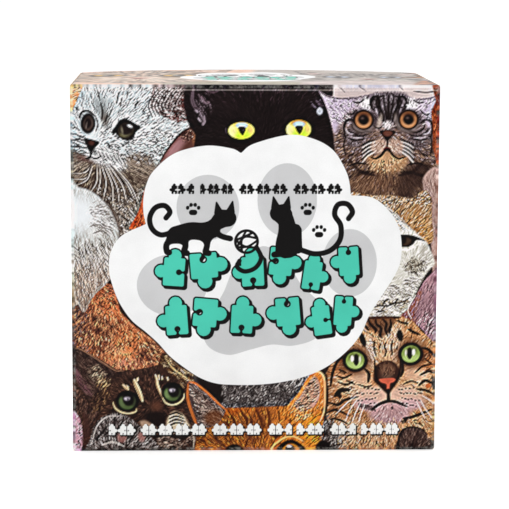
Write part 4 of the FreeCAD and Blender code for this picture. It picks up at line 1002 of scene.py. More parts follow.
def shifted(shapes, du, dv):
    """The same shapes, moved."""
    return [np.array(points) + (du, dv) for points in shapes]


TAB_TURNS = ((1, -1, 0, 1), (-1, 1, 1, 0), (1, 0, -1, 1), (0, 1, 1, -1), (1, 1, -1, 0), (-1, 0, 1, 1))


def small_row(groups, foot, top, first=0):
    """A line of small jigsaw pieces in groups, each group given as (left, right, how many)."""
    shapes = []
    for left, right, count in groups:
        pitch = (right - left) / count
        for k in range(count):
            turn = len(shapes) + first
            centre = (left + (k + 0.5) * pitch, (foot + top) / 2)
            size = (min(pitch * 0.9, 2.7), top - foot)
            shapes.append(jigsaw(centre, size, 0, (1, 1, -1, -1) if turn % 2 else (1, -1, -1, 1), 0.1))
    return shapes


def title_pieces():
    """The two rows of big pieces that bounce along the middle of the badge."""
    rows = (((-26.2, -17.6, 43.4, 53.8), (-17.2, -6.6, 43.0, 53.0), (-6.2, 2.8, 43.2, 54.0),
        (3.2, 12.4, 43.8, 54.2), (12.2, 19.6, 42.2, 52.4), (19.4, 27.6, 44.0, 54.4)),
        ((-25.8, -17.0, 30.4, 41.2), (-16.6, -7.0, 30.2, 40.8), (-6.6, 2.2, 30.8, 41.2),
        (2.8, 12.4, 30.4, 41.0), (12.8, 20.2, 30.2, 40.6), (20.2, 27.6, 31.0, 41.4)))
    shapes = []
    for r, row in enumerate(rows):
        for k, (left, right, foot, top) in enumerate(row):
            tilt = (4, -5, -3, 5, 8, -4)[k] * (1 - 2 * r) * -1
            size = (0.95 * (right - left), 0.97 * (top - foot))
            shapes.append(jigsaw(((left + right) / 2, (foot + top) / 2), size, tilt,
                TAB_TURNS[(k + 2 * r) % 6], 0.75))
    return shapes


def blended(p, strokes, blend):
    """Rounded strokes that melt into each other, as one distance field. Each stroke is (points, radius)."""
    out = np.full(p.u.shape, FAR)
    for points, radius in strokes:
        d = field(p, [spline(points) if len(points) > 2 else points], radius, closed=False)
        near = np.clip(0.5 + 0.5 * (out - d) / blend, 0, 1)
        out = out * (1 - near) + d * near - blend * near * (1 - near)
    return out


def paw_print(p, cu, cv, size):
    """Four toes over a pad."""
    toes = [([(cu + size * x, cv + size * y), (cu + size * x, cv + size * (y + 0.12))], 0.3 * size)
            for x, y in ((-0.95, 0.5), (-0.36, 1.0), (0.36, 1.0), (0.95, 0.5))]
    pad = [([(cu - 0.25 * size, cv - 0.25 * size), (cu + 0.25 * size, cv - 0.25 * size)], 0.48 * size)]
    return np.minimum(blended(p, toes, 0.05), blended(p, pad, 0.05))


def black_cats(p):
    """Above the rows: a cat that bats at a ball of wool, and one that sits with its tail up."""
    prowler = (([(-20.4, 57.2), (-16.4, 58.2), (-12.6, 57.8)], 2.3), ([(-12.6, 58.2), (-9.6, 60.4)], 1.8),
        ([(-8.4, 61.6), (-7.0, 61.5)], 2.2), ([(-20.8, 57.0), (-22.8, 54.8), (-22.8, 52.9), (-22.2, 52.6)],
        0.8), ([(-19.2, 56.4), (-18.0, 54.6), (-18.4, 52.7), (-17.6, 52.4)], 0.8),
        ([(-12.8, 57.0), (-12.4, 54.6), (-12.8, 52.7), (-12.0, 52.4)], 0.8),
        ([(-11.0, 58.2), (-8.6, 56.8), (-6.4, 56.2)], 0.75))
    sitter = (([(9.8, 55.0), (9.2, 57.6)], 3.1), ([(8.8, 58.4), (8.0, 61.0)], 2.1),
        ([(7.2, 63.0), (6.0, 62.8)], 2.2), ([(7.2, 59.0), (6.2, 55.4), (6.0, 52.4), (5.0, 52.0)], 0.8),
        ([(10.8, 53.8), (9.4, 52.4), (7.8, 52.1)], 1.1))
    tails = (([(-21.4, 57.8), (-24.4, 57.2), (-26.6, 58.8), (-27.2, 61.6), (-25.8, 64.2), (-23.4, 64.8),
        (-22.0, 63.2), (-23.0, 61.6)], 0.7), ([(12.0, 53.2), (15.6, 52.2), (19.4, 53.0), (22.0, 55.8),
        (22.2, 59.6), (20.6, 62.4), (21.4, 65.0), (23.8, 65.2), (25.2, 63.2), (24.2, 61.4)], 0.7))
    ears = [[(x - 1.1, y), (x + lean, y + 2.9), (x + 1.1, y)] for x, y, lean in
            ((-9.3, 62.8, -0.7), (-6.5, 63.0, 0.7), (5.4, 64.2, -0.7), (8.0, 64.2, 0.7))]
    ball = ellipse((-2.2, 55.4), (2.9, 2.9))
    wool = [([(-2.2 + 2.9 * math.cos(a), 55.4 + 2.9 * math.sin(a)),
        (-2.2 + 1.3 * math.cos(a + 1.3), 55.4 + 1.3 * math.sin(a + 1.3)),
        (-2.2 + 2.9 * math.cos(a + 2.7), 55.4 + 2.9 * math.sin(a + 2.7))], 0.3)
        for a in (0.3, 0.95, 1.6, 3.0, 3.7)]
    wool.append(([(0.4, 54.0), (1.6, 51.2), (0.2, 48.6), (-2.6, 47.6), (-4.6, 48.8), (-4.0, 50.4)], 0.6))
    out = np.minimum(blended(p, prowler, 1.3), blended(p, sitter, 1.3))
    out = np.minimum(out, np.minimum(blended(p, tails, 0.1), field(p, ears, 0.2)))
    out = np.minimum(out, np.minimum(blended(p, wool, 0.1), np.abs(field(p, [ball])) - 0.35))
    for cu, cv in ((16.6, 57.6), (-16.0, 63.4), (13.6, 63.4)):
        out = np.minimum(out, paw_print(p, cu, cv, 1.5))
    return out


BADGE = (((-28.2, 60.0), (-28.8, 63.0), (-28.8, 66.6), (-28.0, 70.4), (-26.0, 74.0), (-20.6, 78.4),
    (-12.8, 80.3), (-6.2, 79.6), (-3.7, 78.4)), ((-3.7, 78.4), (-0.4, 80.8), (8.6, 83.1), (15.2, 82.0),
    (20.2, 79.0), (23.4, 73.8), (24.4, 70.4), (24.7, 67.5)), ((24.7, 67.5), (30.2, 66.9), (34.2, 64.0),
    (37.2, 59.4), (38.1, 54.0), (37.7, 49.6), (36.0, 45.8), (33.0, 41.0), (30.0, 36.2), (28.0, 31.5),
    (25.0, 27.4), (20.2, 23.2), (15.2, 20.5), (10.0, 18.9), (5.0, 18.0), (0.0, 17.6), (-5.2, 17.6),
    (-10.0, 18.0), (-14.2, 19.5), (-18.0, 22.0), (-22.0, 25.2), (-25.0, 28.6), (-28.2, 31.6), (-32.0, 34.8),
    (-35.0, 39.2), (-36.9, 44.0), (-37.8, 48.4), (-37.2, 53.0), (-34.4, 57.0), (-28.2, 60.0)))
MAIN_PAD = ((2.0, 54.2), (-5.2, 48.4), (-8.2, 42.0), (-13.0, 33.0), (-12.2, 28.0), (-7.0, 25.6),
    (-1.0, 27.0), (4.4, 28.3), (10.0, 28.0), (16.0, 30.0), (18.6, 35.0), (17.0, 39.2), (12.2, 44.0),
    (8.0, 50.2))


def face_fields(p):
    """The badge and everything on it, as distance fields."""
    title = title_pieces()
    tag = small_row(((-38.2, -31.0, 3), (-29.8, -12.4, 8), (-11.2, 2.0, 6), (3.4, 10.0, 3), (11.0, 18.4, 3),
        (19.8, 26.8, 3), (28.0, 38.2, 5)), 4.3, 7.2, 1)
    pads = [ellipse((-12.2, 64.3), (8.1, 8.5)), ellipse((8.3, 66.2), (7.7, 9.6)),
        ellipse((-21.5, 44.0), (9.1, 8.1)), ellipse((24.6, 49.8), (7.1, 8.9)),
        spline(MAIN_PAD, closed=True)]
    caps = small_row(((-22.2, -15.6, 3), (-14.3, -5.4, 5), (-4.3, 8.5, 6), (9.7, 22.6, 6)), 67.8, 70.5)
    shade = np.minimum(field(p, title, 0.85), field(p, shifted(title, 0.5, -0.55), 0.85))
    shade = np.minimum(shade, field(p, shifted(tag, 0.18, -0.25), 0.3))
    return {
        "badge": field(p, [np.vstack([spline(lobe) for lobe in BADGE])]),
        "pads": field(p, pads),
        "shade": shade,
        "teal": field(p, title, 0.42),
        "white": field(p, tag, 0.12),
        "ink": np.minimum(black_cats(p), field(p, caps, 0.1)),
    }


# ---- the shells of the box


class Shell:
    """Half of the box: a panel in the x-z plane with four sides that run from it along y."""

    def __init__(self, wrap, panel_first, bows=(0, 0, 0, 0)):
        low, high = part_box(wrap)
        self.half = high.x / MM
        self.foot, self.top = low.z / MM, high.z / MM
        ends = (low.y / MM, high.y / MM)
        self.panel, self.rim = ends if panel_first else ends[::-1]
        self.sign = 1 if panel_first else -1
        self.depth = abs(self.rim - self.panel)
        self.bows = bows
        self.width, self.height = 2 * self.half, self.top - self.foot

    def ring(self, inset, step, depth=0.0, radius=CORNER):
        """(x, z) clockwise round the box from its top left, the run along each side (0 to 1) and the side."""
        r = max(radius - inset, 0.04)
        reach = (self.half - inset - r, (self.height / 2) - inset - r)
        middle = np.array([0.0, (self.foot + self.top) / 2])
        points, runs, sides = [], [], []
        for side in range(4):
            normal = np.array([(0, 1), (1, 0), (0, -1), (-1, 0)][side], float)
            ahead = np.array([normal[1], -normal[0]])
            span, out = (reach[0], reach[1]) if side % 2 == 0 else (reach[1], reach[0])
            count = int(round((self.width if side % 2 == 0 else self.height) / step))
            t = np.arange(count + 1) / count
            bow = self.bows[side] * (4 * t * (1 - t)) ** 0.8 * (max(depth, 0) / self.depth) ** 1.7
            flat = middle + np.outer(2 * t - 1, ahead) * span + np.outer(out + r + bow, normal)
            turn = np.radians(90 * np.arange(1, 5) / 5)
            hub = middle + ahead * span + normal * out
            arc = hub + r * (np.outer(np.cos(turn), normal) + np.outer(np.sin(turn), ahead))
            points += [flat, arc]
            runs += [t, np.full(4, 1.0)]
            sides += [np.full(count + 1, side), np.full(4, side)]
        return np.vstack(points), np.concatenate(runs), np.concatenate(sides)

    def y(self, depth):
        return self.panel + self.sign * depth


def make_mesh(name, points, faces, attributes=None, smooth_shading=True):
    """An object from points in millimetres. attributes is {name: a value, or a colour, for each point}."""
    mesh = bpy.data.meshes.new(name)
    mesh.from_pydata((np.asarray(points) * MM).tolist(), [], faces)
    for key, values in (attributes or {}).items():
        if values.ndim == 2:
            rgba = np.ones((len(values), 4), np.float32)
            rgba[:, :3] = values
            mesh.attributes.new(key, "FLOAT_COLOR", "POINT").data.foreach_set("color", rgba.ravel())
        else:
            mesh.attributes.new(key, "FLOAT", "POINT").data.foreach_set("value", values.astype(np.float32))
    if smooth_shading:
        mesh.polygons.foreach_set("use_smooth", np.ones(len(mesh.polygons), bool))
    mesh.update()
    piece = bpy.data.objects.new(name, mesh)
    bpy.context.scene.collection.objects.link(piece)
    return piece


def grid_faces(rows, columns, closed=False, flip=False):
    """Quads over rows of points; closed joins the last column to the first."""
    j, i = np.meshgrid(np.arange(rows - 1), np.arange(columns if closed else columns - 1), indexing="ij")
    after = (i + 1) % columns
    quads = np.stack([j * columns + i, j * columns + after, (j + 1) * columns + after,
        (j + 1) * columns + i], -1)
    quads = quads.reshape(-1, 4)
    return (quads[:, ::-1] if flip else quads).tolist()


def linear(rgb):
    """Display colour to linear colour."""
    rgb = np.clip(rgb, 0, 1)
    return np.where(rgb < 0.04045, rgb / 12.92, ((rgb + 0.055) / 1.055) ** 2.4)


def sampled(p, grid, u, v):
    """A picture's array read at any points."""
    i = np.clip((u - p.u0) / p.cell, 0, p.nu - 1.001)
    j = np.clip((v - p.v0) / p.cell, 0, p.nv - 1.001)
    i0, j0 = i.astype(int), j.astype(int)
    fi, fj = i - i0, j - j0
    if grid.ndim == 3:
        fi, fj = fi[:, None], fj[:, None]
    low = grid[j0, i0] * (1 - fi) + grid[j0, i0 + 1] * fi
    high = grid[j0 + 1, i0] * (1 - fi) + grid[j0 + 1, i0 + 1] * fi
    return low * (1 - fj) + high * fj


def panel_piece(name, shell, p, fields, crease):
    """The printed panel: one point to each cell of its picture."""
    inset = np.minimum(shell.half - np.abs(p.u), np.minimum(p.v - shell.foot, shell.top - p.v))
    ridge = np.exp(-(((shell.top - p.v - CREASE) / 0.28) ** 2))
    ridge = ridge + 0.35 * np.exp(-(((inset - CREASE) / 0.3) ** 2))
    height = crease * 0.05 * ridge + 0.1 * p.clouds(16) + 0.03 * p.clouds(5)
    edge = smooth((inset - FOLD) / 3.0)
    y = shell.panel + shell.sign * height * edge
    x = p.u * shell.sign
    points = np.stack([x, y, p.v], -1).reshape(-1, 3)
    wear = np.clip(1 - (inset - FOLD) / 0.7, 0, 1) ** 2
    attributes = {"art": linear(p.rgb).reshape(-1, 3), "wear": wear.ravel()}
    attributes.update({key: grid.ravel() for key, grid in fields.items()})
    return make_mesh(name, points, grid_faces(p.nv, p.nu), attributes)


def side_rows(shell, wall, step):
    """(inset, depth from the panel) of each row of the wrap: fold, side, rim, then down the inside."""
    rows = [(FOLD + 0.5, 0.015), (FOLD, 0.0)]
    for turn in np.radians(np.arange(15, 91, 15)):
        rows.append((FOLD * (1 - math.sin(turn)), FOLD * (1 - math.cos(turn))))
    straight = np.arange(FOLD + step, shell.depth - RIM_ROUND, step)
    rows += [(0.0, d) for d in straight]
    for turn in np.radians(np.arange(0, 91, 30)):
        across, down = RIM_ROUND * (1 - math.cos(turn)), RIM_ROUND * (1 - math.sin(turn))
        rows.append((across, shell.depth - down))
    for turn in np.radians(np.arange(90, -1, -30)):
        across, down = RIM_ROUND * (1 - math.cos(turn)), RIM_ROUND * (1 - math.sin(turn))
        rows.append((wall - across, shell.depth - down))
    rows += [(wall, d) for d in np.arange(shell.depth - 1.0, shell.depth - TURN_IN, -0.9)]
    rows += [(wall, shell.depth - TURN_IN), (wall - PAPER, shell.depth - TURN_IN)]
    return rows


def side_piece(name, shell, p, fields, face, step):
    """The printed sides, turned over the rim and down the inside. The picture p runs round the box."""
    wall = 2 * PAPER + BOARD + GLUE
    points, art, wear, read = [], [], [], {key: [] for key in fields}
    _, run, side = shell.ring(0, step)
    start = np.array([0, shell.width, shell.width + shell.height, 2 * shell.width + shell.height])[side]
    length = np.where(side % 2 == 0, shell.width, shell.height)
    along_box = start + run * length
    travelled = 0.0
    last = None
    for inset, depth in side_rows(shell, wall, step):
        if last is not None:
            travelled += math.hypot(inset - last[0], depth - last[1])
        last = (inset, depth)
        ring = shell.ring(inset, step, depth)[0]
        y = np.full(len(ring), shell.y(depth))
        points.append(np.stack([ring[:, 0], y, ring[:, 1]], 1))
        v = np.full(len(ring), travelled - 0.5)
        colour_here = sampled(p, p.rgb, along_box, v)
        share = smooth((FACE_BLEED - travelled) / 0.8)
        near = shell.ring(FOLD + 0.05, step)[0]
        bleed = sampled(face, face.rgb, near[:, 0] * shell.sign, near[:, 1])
        colour_here = colour_here * (1 - share) + bleed * share
        art.append(colour_here)
        on_rim = depth > shell.depth - 0.5
        at_corner = np.exp(-((np.minimum(run, 1 - run) * length / 0.6) ** 2))
        fold_wear = max(0.0, 1 - travelled / 1.6) * 0.8
        wear.append(np.clip(np.maximum(0.75 * at_corner, max(fold_wear, 0.6 * on_rim)), 0, 1))
        for key, grid in fields.items():
            read[key].append(sampled(p, grid, along_box, v))
    attributes = {"art": linear(np.vstack(art)), "wear": np.concatenate(wear)}
    attributes.update({key: np.concatenate(values) for key, values in read.items()})
    rows = len(points)
    faces = grid_faces(rows, len(points[0]), closed=True, flip=shell.sign < 0)
    return make_mesh(name, np.vstack(points), faces, attributes)


def board_piece(node, name, shell, side):
    """A side board that has bowed with its wrap: outer and inner skins, and the edges between them."""
    low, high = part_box(node)
    ends = (low.y / MM, high.y / MM) if shell.sign > 0 else (high.y / MM, low.y / MM)
    skins = []
    for inset in (PAPER + GLUE, PAPER + GLUE + BOARD):
        rows = []
        for y in np.linspace(ends[0], ends[1], 24):
            ring, _, sides = shell.ring(inset, 2.0, abs(y - shell.panel), radius=0.05)
            flat = ring[sides == side][:-4]
            rows.append(np.stack([flat[:, 0], np.full(len(flat), y), flat[:, 1]], 1))
        skins.append(np.array(rows))
    rows, columns = skins[0].shape[:2]
    inner = rows * columns
    faces = grid_faces(rows, columns) + [[k + inner for k in q[::-1]] for q in grid_faces(rows, columns)]
    for j in range(rows - 1):
        for i in (0, columns - 1):
            a, b = j * columns + i, (j + 1) * columns + i
            faces.append([a, b, b + inner, a + inner] if i == 0 else [b, a, a + inner, b + inner])
    for i in range(columns - 1):
        for j in (0, rows - 1):
            a, b = j * columns + i, j * columns + i + 1
            faces.append([b, a, a + inner, b + inner] if j == 0 else [a, b, b + inner, a + inner])
    return make_mesh(name, np.vstack([s.reshape(-1, 3) for s in skins]), faces, smooth_shading=False)


# ---- materials


class Nodes:
    """Short calls that build the nodes of one material."""

    def __init__(self, name, **constants):
        self.material = bpy.data.materials.new(name)
        self.material.use_nodes = True
        self.tree = self.material.node_tree
        self.tree.nodes.clear()
        self.surface = self.add("BsdfPrincipled", constants)
        output = self.add("OutputMaterial")
        self.tree.links.new(self.surface.outputs[0], output.inputs["Surface"])
        self.place = self.add("TexCoord").outputs["Object"]

    def add(self, kind, inputs=None, **settings):
        node = self.tree.nodes.new("ShaderNode" + kind)
        for key, value in settings.items():
            setattr(node, key, value)
        for key, value in (inputs or {}).items():
            self.join(node.inputs[key], value)
        return node

    def join(self, socket, value):
        """Links a socket, or sets its constant."""
        if isinstance(value, bpy.types.NodeSocket):
            self.tree.links.new(value, socket)
        else:
            socket.default_value = value

    def attribute(self, name, output="Fac"):
        return self.add("Attribute", attribute_name=name).outputs[output]

    def maths(self, operation, a, b=0.0, clamp=False):
        return self.add("Math", {0: a, 1: b}, operation=operation, use_clamp=clamp).outputs[0]

    def mix(self, share, a, b, blend="MIX"):
        return self.add("Mix", {0: share, 6: a, 7: b}, data_type="RGBA", blend_type=blend).outputs[2]

    def ramp(self, value, low, high, to_low=0.0, to_high=1.0):
        """A smooth step: to_low at low, to_high at high."""
        inputs = {0: value, 1: low, 2: high, 3: to_low, 4: to_high}
        return self.add("MapRange", inputs, interpolation_type="SMOOTHSTEP").outputs[0]

    def inside(self, name, soft=0.09):
        """1 inside the shapes of a distance field, 0 outside."""
        return self.ramp(self.attribute(name), soft, -soft)

    def noise(self, size, detail=3.0, roughness=0.55, stretch=(1, 1, 1), distortion=0.0):
        """Noise with features about size across, in millimetres."""
        vector = self.place
        if stretch != (1, 1, 1):
            vector = self.add("Mapping", {"Vector": self.place, "Scale": stretch}).outputs[0]
        inputs = {"Vector": vector, "Scale": 1 / (size * MM), "Detail": detail, "Roughness": roughness,
            "Distortion": distortion}
        return self.add("TexNoise", inputs).outputs["Fac"]

    def bump(self, height, depth, strength=0.5, normal=None):
        """A bump of that depth in millimetres."""
        inputs = {"Height": height, "Distance": depth * MM, "Strength": strength}
        if normal is not None:
            inputs["Normal"] = normal
        return self.add("Bump", inputs).outputs[0]

    def finish(self, base, roughness, normal):
        self.join(self.surface.inputs["Base Color"], base)
        self.join(self.surface.inputs["Roughness"], roughness)
        self.join(self.surface.inputs["Normal"], normal)
        return self.material


def tone(text, alpha=1.0):
    """A colour for a shader socket."""
    return (*(float(x) for x in linear(colour(text))), alpha)


def printed_paper(name):
    """Full-colour print under a satin film, worn to the white paper on its folds."""
    m = Nodes(name, **{"Specular IOR Level": 0.07, "Coat Weight": 0.02, "Coat Roughness": 0.2})
    base = m.attribute("art", "Color")
    fibre = m.noise(0.35, 4)
    for key, paint in MARKS:
        base = m.mix(m.inside(key), base, tone(paint))
    cloudy = m.noise(14, 3)
    base = m.mix(1.0, base, m.mix(m.ramp(cloudy, 0.3, 0.7), tone("f4f4f4"), tone("ffffff")), "MULTIPLY")
    base = m.mix(m.ramp(fibre, 0.3, 0.75, 0.0, 0.12), base, tone("d9d9d9"), "MULTIPLY")
    rub = m.noise(1.6, 5, 0.7)
    worn = m.maths("MULTIPLY", m.attribute("wear"), m.ramp(rub, 0.42, 0.66), clamp=True)
    base = m.mix(m.maths("MULTIPLY", worn, 0.38), base, tone("e6e0d8"))
    gloss = m.ramp(m.noise(9, 4), 0.3, 0.7, 0.3, 0.4)
    rough = m.maths("ADD", gloss, m.maths("MULTIPLY", worn, 0.35))
    normal = m.bump(m.noise(22, 2), 0.25, 0.25)
    normal = m.bump(m.noise(0.5, 4), 0.012, 0.35, normal)
    return m.finish(base, rough, normal)


def greyboard(name):
    """Recycled grey board: matt, with fibres and dark and pale specks."""
    m = Nodes(name, **{"Specular IOR Level": 0.2})
    mottle = m.noise(6, 4)
    base = m.mix(m.ramp(mottle, 0.3, 0.7), tone("a39c90"), tone("b6aea1"))
    fibres = m.noise(0.5, 5, 0.65, (1, 1, 0.25), 0.8)
    base = m.mix(m.ramp(fibres, 0.5, 0.72, 0.0, 0.55), base, tone("d2cabc"))
    specks = m.noise(0.9, 2, 0.5)
    base = m.mix(m.ramp(specks, 0.66, 0.74), base, tone("5d574f"))
    normal = m.bump(fibres, 0.05, 0.6)
    normal = m.bump(m.noise(3, 3), 0.06, 0.4, normal)
    return m.finish(base, m.ramp(fibres, 0.2, 0.8, 0.82, 0.95), normal)


def kraft_tape(name):
    """Gummed paper tape: pale brown, ribbed by its long fibres."""
    m = Nodes(name, **{"Specular IOR Level": 0.25})
    grain = m.noise(0.6, 5, 0.6, (1, 0.15, 1), 0.4)
    base = m.mix(m.ramp(grain, 0.3, 0.7), tone("c3a883"), tone("d6bf9d"))
    base = m.mix(m.ramp(m.noise(0.8, 2), 0.68, 0.76), base, tone("94795a"))
    return m.finish(base, m.ramp(grain, 0.2, 0.8, 0.6, 0.75), m.bump(grain, 0.03, 0.5))


def clear_film(name):
    """Thin plastic film: mostly see-through, with glints along its creases and faint haze."""
    m = Nodes(name, **{"Specular IOR Level": 0.6, "IOR": 1.45})
    creases = m.noise(5, 5, 0.6, (1, 1, 0.5), 1.2)
    haze = m.ramp(m.noise(9, 4), 0.4, 0.75, 0.035, 0.12)
    rim = m.add("LayerWeight", {"Blend": 0.35}).outputs["Facing"]
    cover = m.maths("ADD", haze, m.maths("MULTIPLY", m.maths("POWER", rim, 2.2), 0.5), clamp=True)
    cover = m.maths("ADD", cover, m.maths("MULTIPLY", m.attribute("seal"), 0.35), clamp=True)
    m.join(m.surface.inputs["Alpha"], cover)
    normal = m.bump(creases, 0.6, 0.7)
    normal = m.bump(m.noise(1.3, 4, 0.6), 0.06, 0.4, normal)
    base = m.mix(m.ramp(creases, 0.35, 0.65), tone("f2f5f6"), tone("ffffff"))
    return m.finish(base, m.ramp(creases, 0.3, 0.7, 0.06, 0.16), normal)


def piece_print(name, coat, dark, pale):
    """The printed side of a loose piece: a scrap of one cat's fur."""
    m = Nodes(name, **{"Specular IOR Level": 0.3, "Coat Weight": 0.08})
    hairs = m.noise(0.6, 4, 0.6, (1, 0.28, 1), 1.5)
    base = m.mix(m.ramp(m.noise(6, 3), 0.4, 0.62), tone(coat), tone(dark))
    base = m.mix(m.ramp(hairs, 0.48, 0.62, 0.0, 0.75), base, tone("17110e"))
    base = m.mix(m.ramp(hairs, 0.44, 0.3, 0.0, 0.7), base, tone(pale))
    return m.finish(base, m.ramp(m.noise(3, 3), 0.3, 0.7, 0.34, 0.5), m.bump(m.noise(0.4, 3), 0.015, 0.4))


def piece_back(name):
    """The plain side of a loose piece: smooth grey board."""
    m = Nodes(name, **{"Specular IOR Level": 0.15})
    fibres = m.noise(0.6, 4)
    base = m.mix(m.ramp(fibres, 0.35, 0.65), tone("a29a8d"), tone("bdb5a8"))
    base = m.mix(m.ramp(m.noise(0.8, 2), 0.66, 0.74), base, tone("6f675d"))
    return m.finish(base, m.ramp(fibres, 0.2, 0.8, 0.8, 0.92), m.bump(fibres, 0.04, 0.5))


def piece_edge(name):
    """The cut edge of the pieces: grey layers with a pale printed sheet on top."""
    m = Nodes(name, **{"Specular IOR Level": 0.15})
    layers = m.noise(0.5, 4, 0.6, (0.15, 0.15, 1), 0.3)
    base = m.mix(m.ramp(layers, 0.35, 0.65), tone("857d72"), tone("b8afa1"))
    base = m.mix(m.ramp(m.noise(0.7, 2), 0.66, 0.74), base, tone("5f574d"))
    return m.finish(base, m.ramp(layers, 0.3, 0.7, 0.85, 0.95), m.bump(layers, 0.06, 0.6))


def white_floor(name):
    """A white sweep that stays white to the edges of the picture."""
    m = Nodes(name, **{"Specular IOR Level": 0.1, "Emission Strength": FLOOR_GLOW})
    m.surface.inputs["Emission Color"].default_value = (1, 1, 1, 1)
    base = m.mix(m.ramp(m.noise(300, 2), 0.3, 0.7), tone("f6f6f6"), tone("fbfbfb"))
    return m.finish(base, m.ramp(m.noise(200, 2), 0.3, 0.7, 0.7, 0.8), m.bump(m.noise(2, 2), 0.01, 0.1))


# ---- the loose pieces in their bag


def film_bag(name):
    """The bag's film: one loft from its folded foot to the flat seal, crinkled and sagging."""
    low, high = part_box("clear_bag")
    half_x, half_y = (high.x - low.x) / 2 / MM, (high.y - low.y) / 2 / MM
    mid_y = (high.y + low.y) / 2 / MM
    foot, top = low.z / MM, high.z / MM
    shoulder, neck = foot + BAG_SHOULDER, top - BAG_SEAL
    turn = np.linspace(0, 2 * math.pi, 300, endpoint=False)
    rng = np.random.default_rng(5)
    rows, seal = [], []
    body = np.linspace(0.2, BAG_SHOULDER - 0.4, 70)
    closing_up = np.linspace(BAG_SHOULDER, neck - foot, 14)
    seal_rows = np.linspace(neck - foot + 0.4, top - foot, 14)
    heights = np.concatenate([[0.0] * 8, body, closing_up, seal_rows])
    waves = [(rng.integers(5, 42), rng.uniform(0, 6.28), rng.uniform(-0.35, 0.35), rng.uniform(0.4, 1.0))
        for _ in range(16)]
    for k, h in enumerate(heights):
        z = foot + h
        base = min(k / 8, 1.0)
        closing = smooth(np.array((z - (shoulder - 1.0)) / (neck - shoulder + 1.0)))
        power = 0.16 + 0.1 * closing
        c, s = np.cos(turn), np.sin(turn)
        rounded_x = np.sign(c) * np.abs(c) ** power
        rounded_y = np.sign(s) * np.abs(s) ** power
        reach_x = half_x * (1 - closing) + BAG_SEAL_HALF * closing
        reach_y = half_y * (1 - closing) + 0.15 * closing
        fold = sum(a * np.abs(np.sin(n * turn / 2 + f + g * h)) for n, f, g, a in waves) / 8
        pinch = fold * (0.9 - 0.75 * closing) * (0.4 + 0.6 * math.sin(math.pi * min(h / 37, 1)) ** 0.5)
        x = rounded_x * (reach_x * base - pinch * 0.9)
        y = rounded_y * (reach_y * base - np.minimum(pinch * 0.6, reach_y * base * 0.5))
        slump = 1.1 * closing * np.sin(turn * 2 + 0.6) + 0.5 * closing * np.sin(turn * 7)
        sway = 0.9 * smooth(np.array((z - neck) / BAG_SEAL)) * np.sin(x / 11.0)
        rows.append(np.stack([x, mid_y + y + sway, np.full(len(x), z) - np.abs(slump) * (z < neck)], 1))
        seal.append(np.full(len(x), float(z > neck + 1.5)) * (0.6 + 0.4 * math.cos(z * 4.2)))
    points = np.vstack(rows)
    return make_mesh(name, points, grid_faces(len(rows), len(turn), closed=True),
        {"seal": np.concatenate(seal)})


def loose_parts(mesh):
    """Which loose piece each face belongs to, found by joining the faces that share a corner."""
    places = np.zeros(len(mesh.vertices) * 3)
    mesh.vertices.foreach_get("co", places)
    corner = np.unique(np.round(places.reshape(-1, 3) / MM, 3), axis=0, return_inverse=True)[1].ravel()
    parent = list(range(len(corner)))

    def root(k):
        while parent[k] != k:
            parent[k] = parent[parent[k]]
            k = parent[k]
        return k

    for face in mesh.polygons:
        first = root(corner[face.vertices[0]])
        for vertex in face.vertices[1:]:
            parent[root(corner[vertex])] = first
    return [root(corner[face.vertices[0]]) for face in mesh.polygons]


def dress_pieces(node, edge, back, prints, rng):
    """Cut edges all round each piece, its grey side one way up and its scrap of the picture the other."""
    mesh = node.data
    mesh.materials.clear()
    for material in (edge, back, *prints):
        mesh.materials.append(material)
    looks = {}
    for face, part in zip(mesh.polygons, loose_parts(mesh)):
        if part not in looks:
            looks[part] = (int(rng.integers(len(prints))), rng.random() < 0.65)
        picture, print_up = looks[part]
        if abs(face.normal.z) > 0.7:
            face.material_index = 2 + picture if (face.normal.z > 0) == print_up else 1


# ---- light, floor and camera


def area_light(name, place, size, power, target):
    """A soft rectangular lamp turned to a target."""
    data = bpy.data.lights.new(name, "AREA")
    data.shape = "RECTANGLE"
    data.size, data.size_y = size
    data.energy = power
    light = bpy.data.objects.new(name, data)
    light.location = place
    light.rotation_euler = (Vector(target) - Vector(place)).to_track_quat("-Z", "Y").to_euler()
    bpy.context.scene.collection.objects.link(light)


def studio():
    """A white floor under plain soft light."""
    scene = bpy.context.scene
    scene.view_settings.view_transform = "Standard"
    world = bpy.data.worlds.new("soft_studio")
    world.use_nodes = True
    scene.world = world
    tree = world.node_tree
    background = tree.nodes["Background"]
    background.inputs["Color"].default_value = (1, 1, 1, 1)
    direction = tree.nodes.new("ShaderNodeTexCoord")
    split = tree.nodes.new("ShaderNodeSeparateXYZ")
    glow = tree.nodes.new("ShaderNodeMapRange")
    for socket, value in zip(list(glow.inputs)[1:5], (-0.5, 0.7, WORLD_FRONT, WORLD_BACK)):
        socket.default_value = value
    tree.links.new(direction.outputs["Generated"], split.inputs[0])
    tree.links.new(split.outputs["Y"], glow.inputs[0])
    tree.links.new(glow.outputs[0], background.inputs["Strength"])
    corners = [(x * FLOOR_REACH, y * FLOOR_REACH, 0) for x, y in ((-1, -1), (1, -1), (1, 1), (-1, 1))]
    floor = make_mesh("studio_floor", corners, [[0, 1, 2, 3]])
    floor.data.materials.append(white_floor("studio_white"))
    for name, place, size, power in LIGHTS:
        area_light(name, place, size, power, MIDDLE)


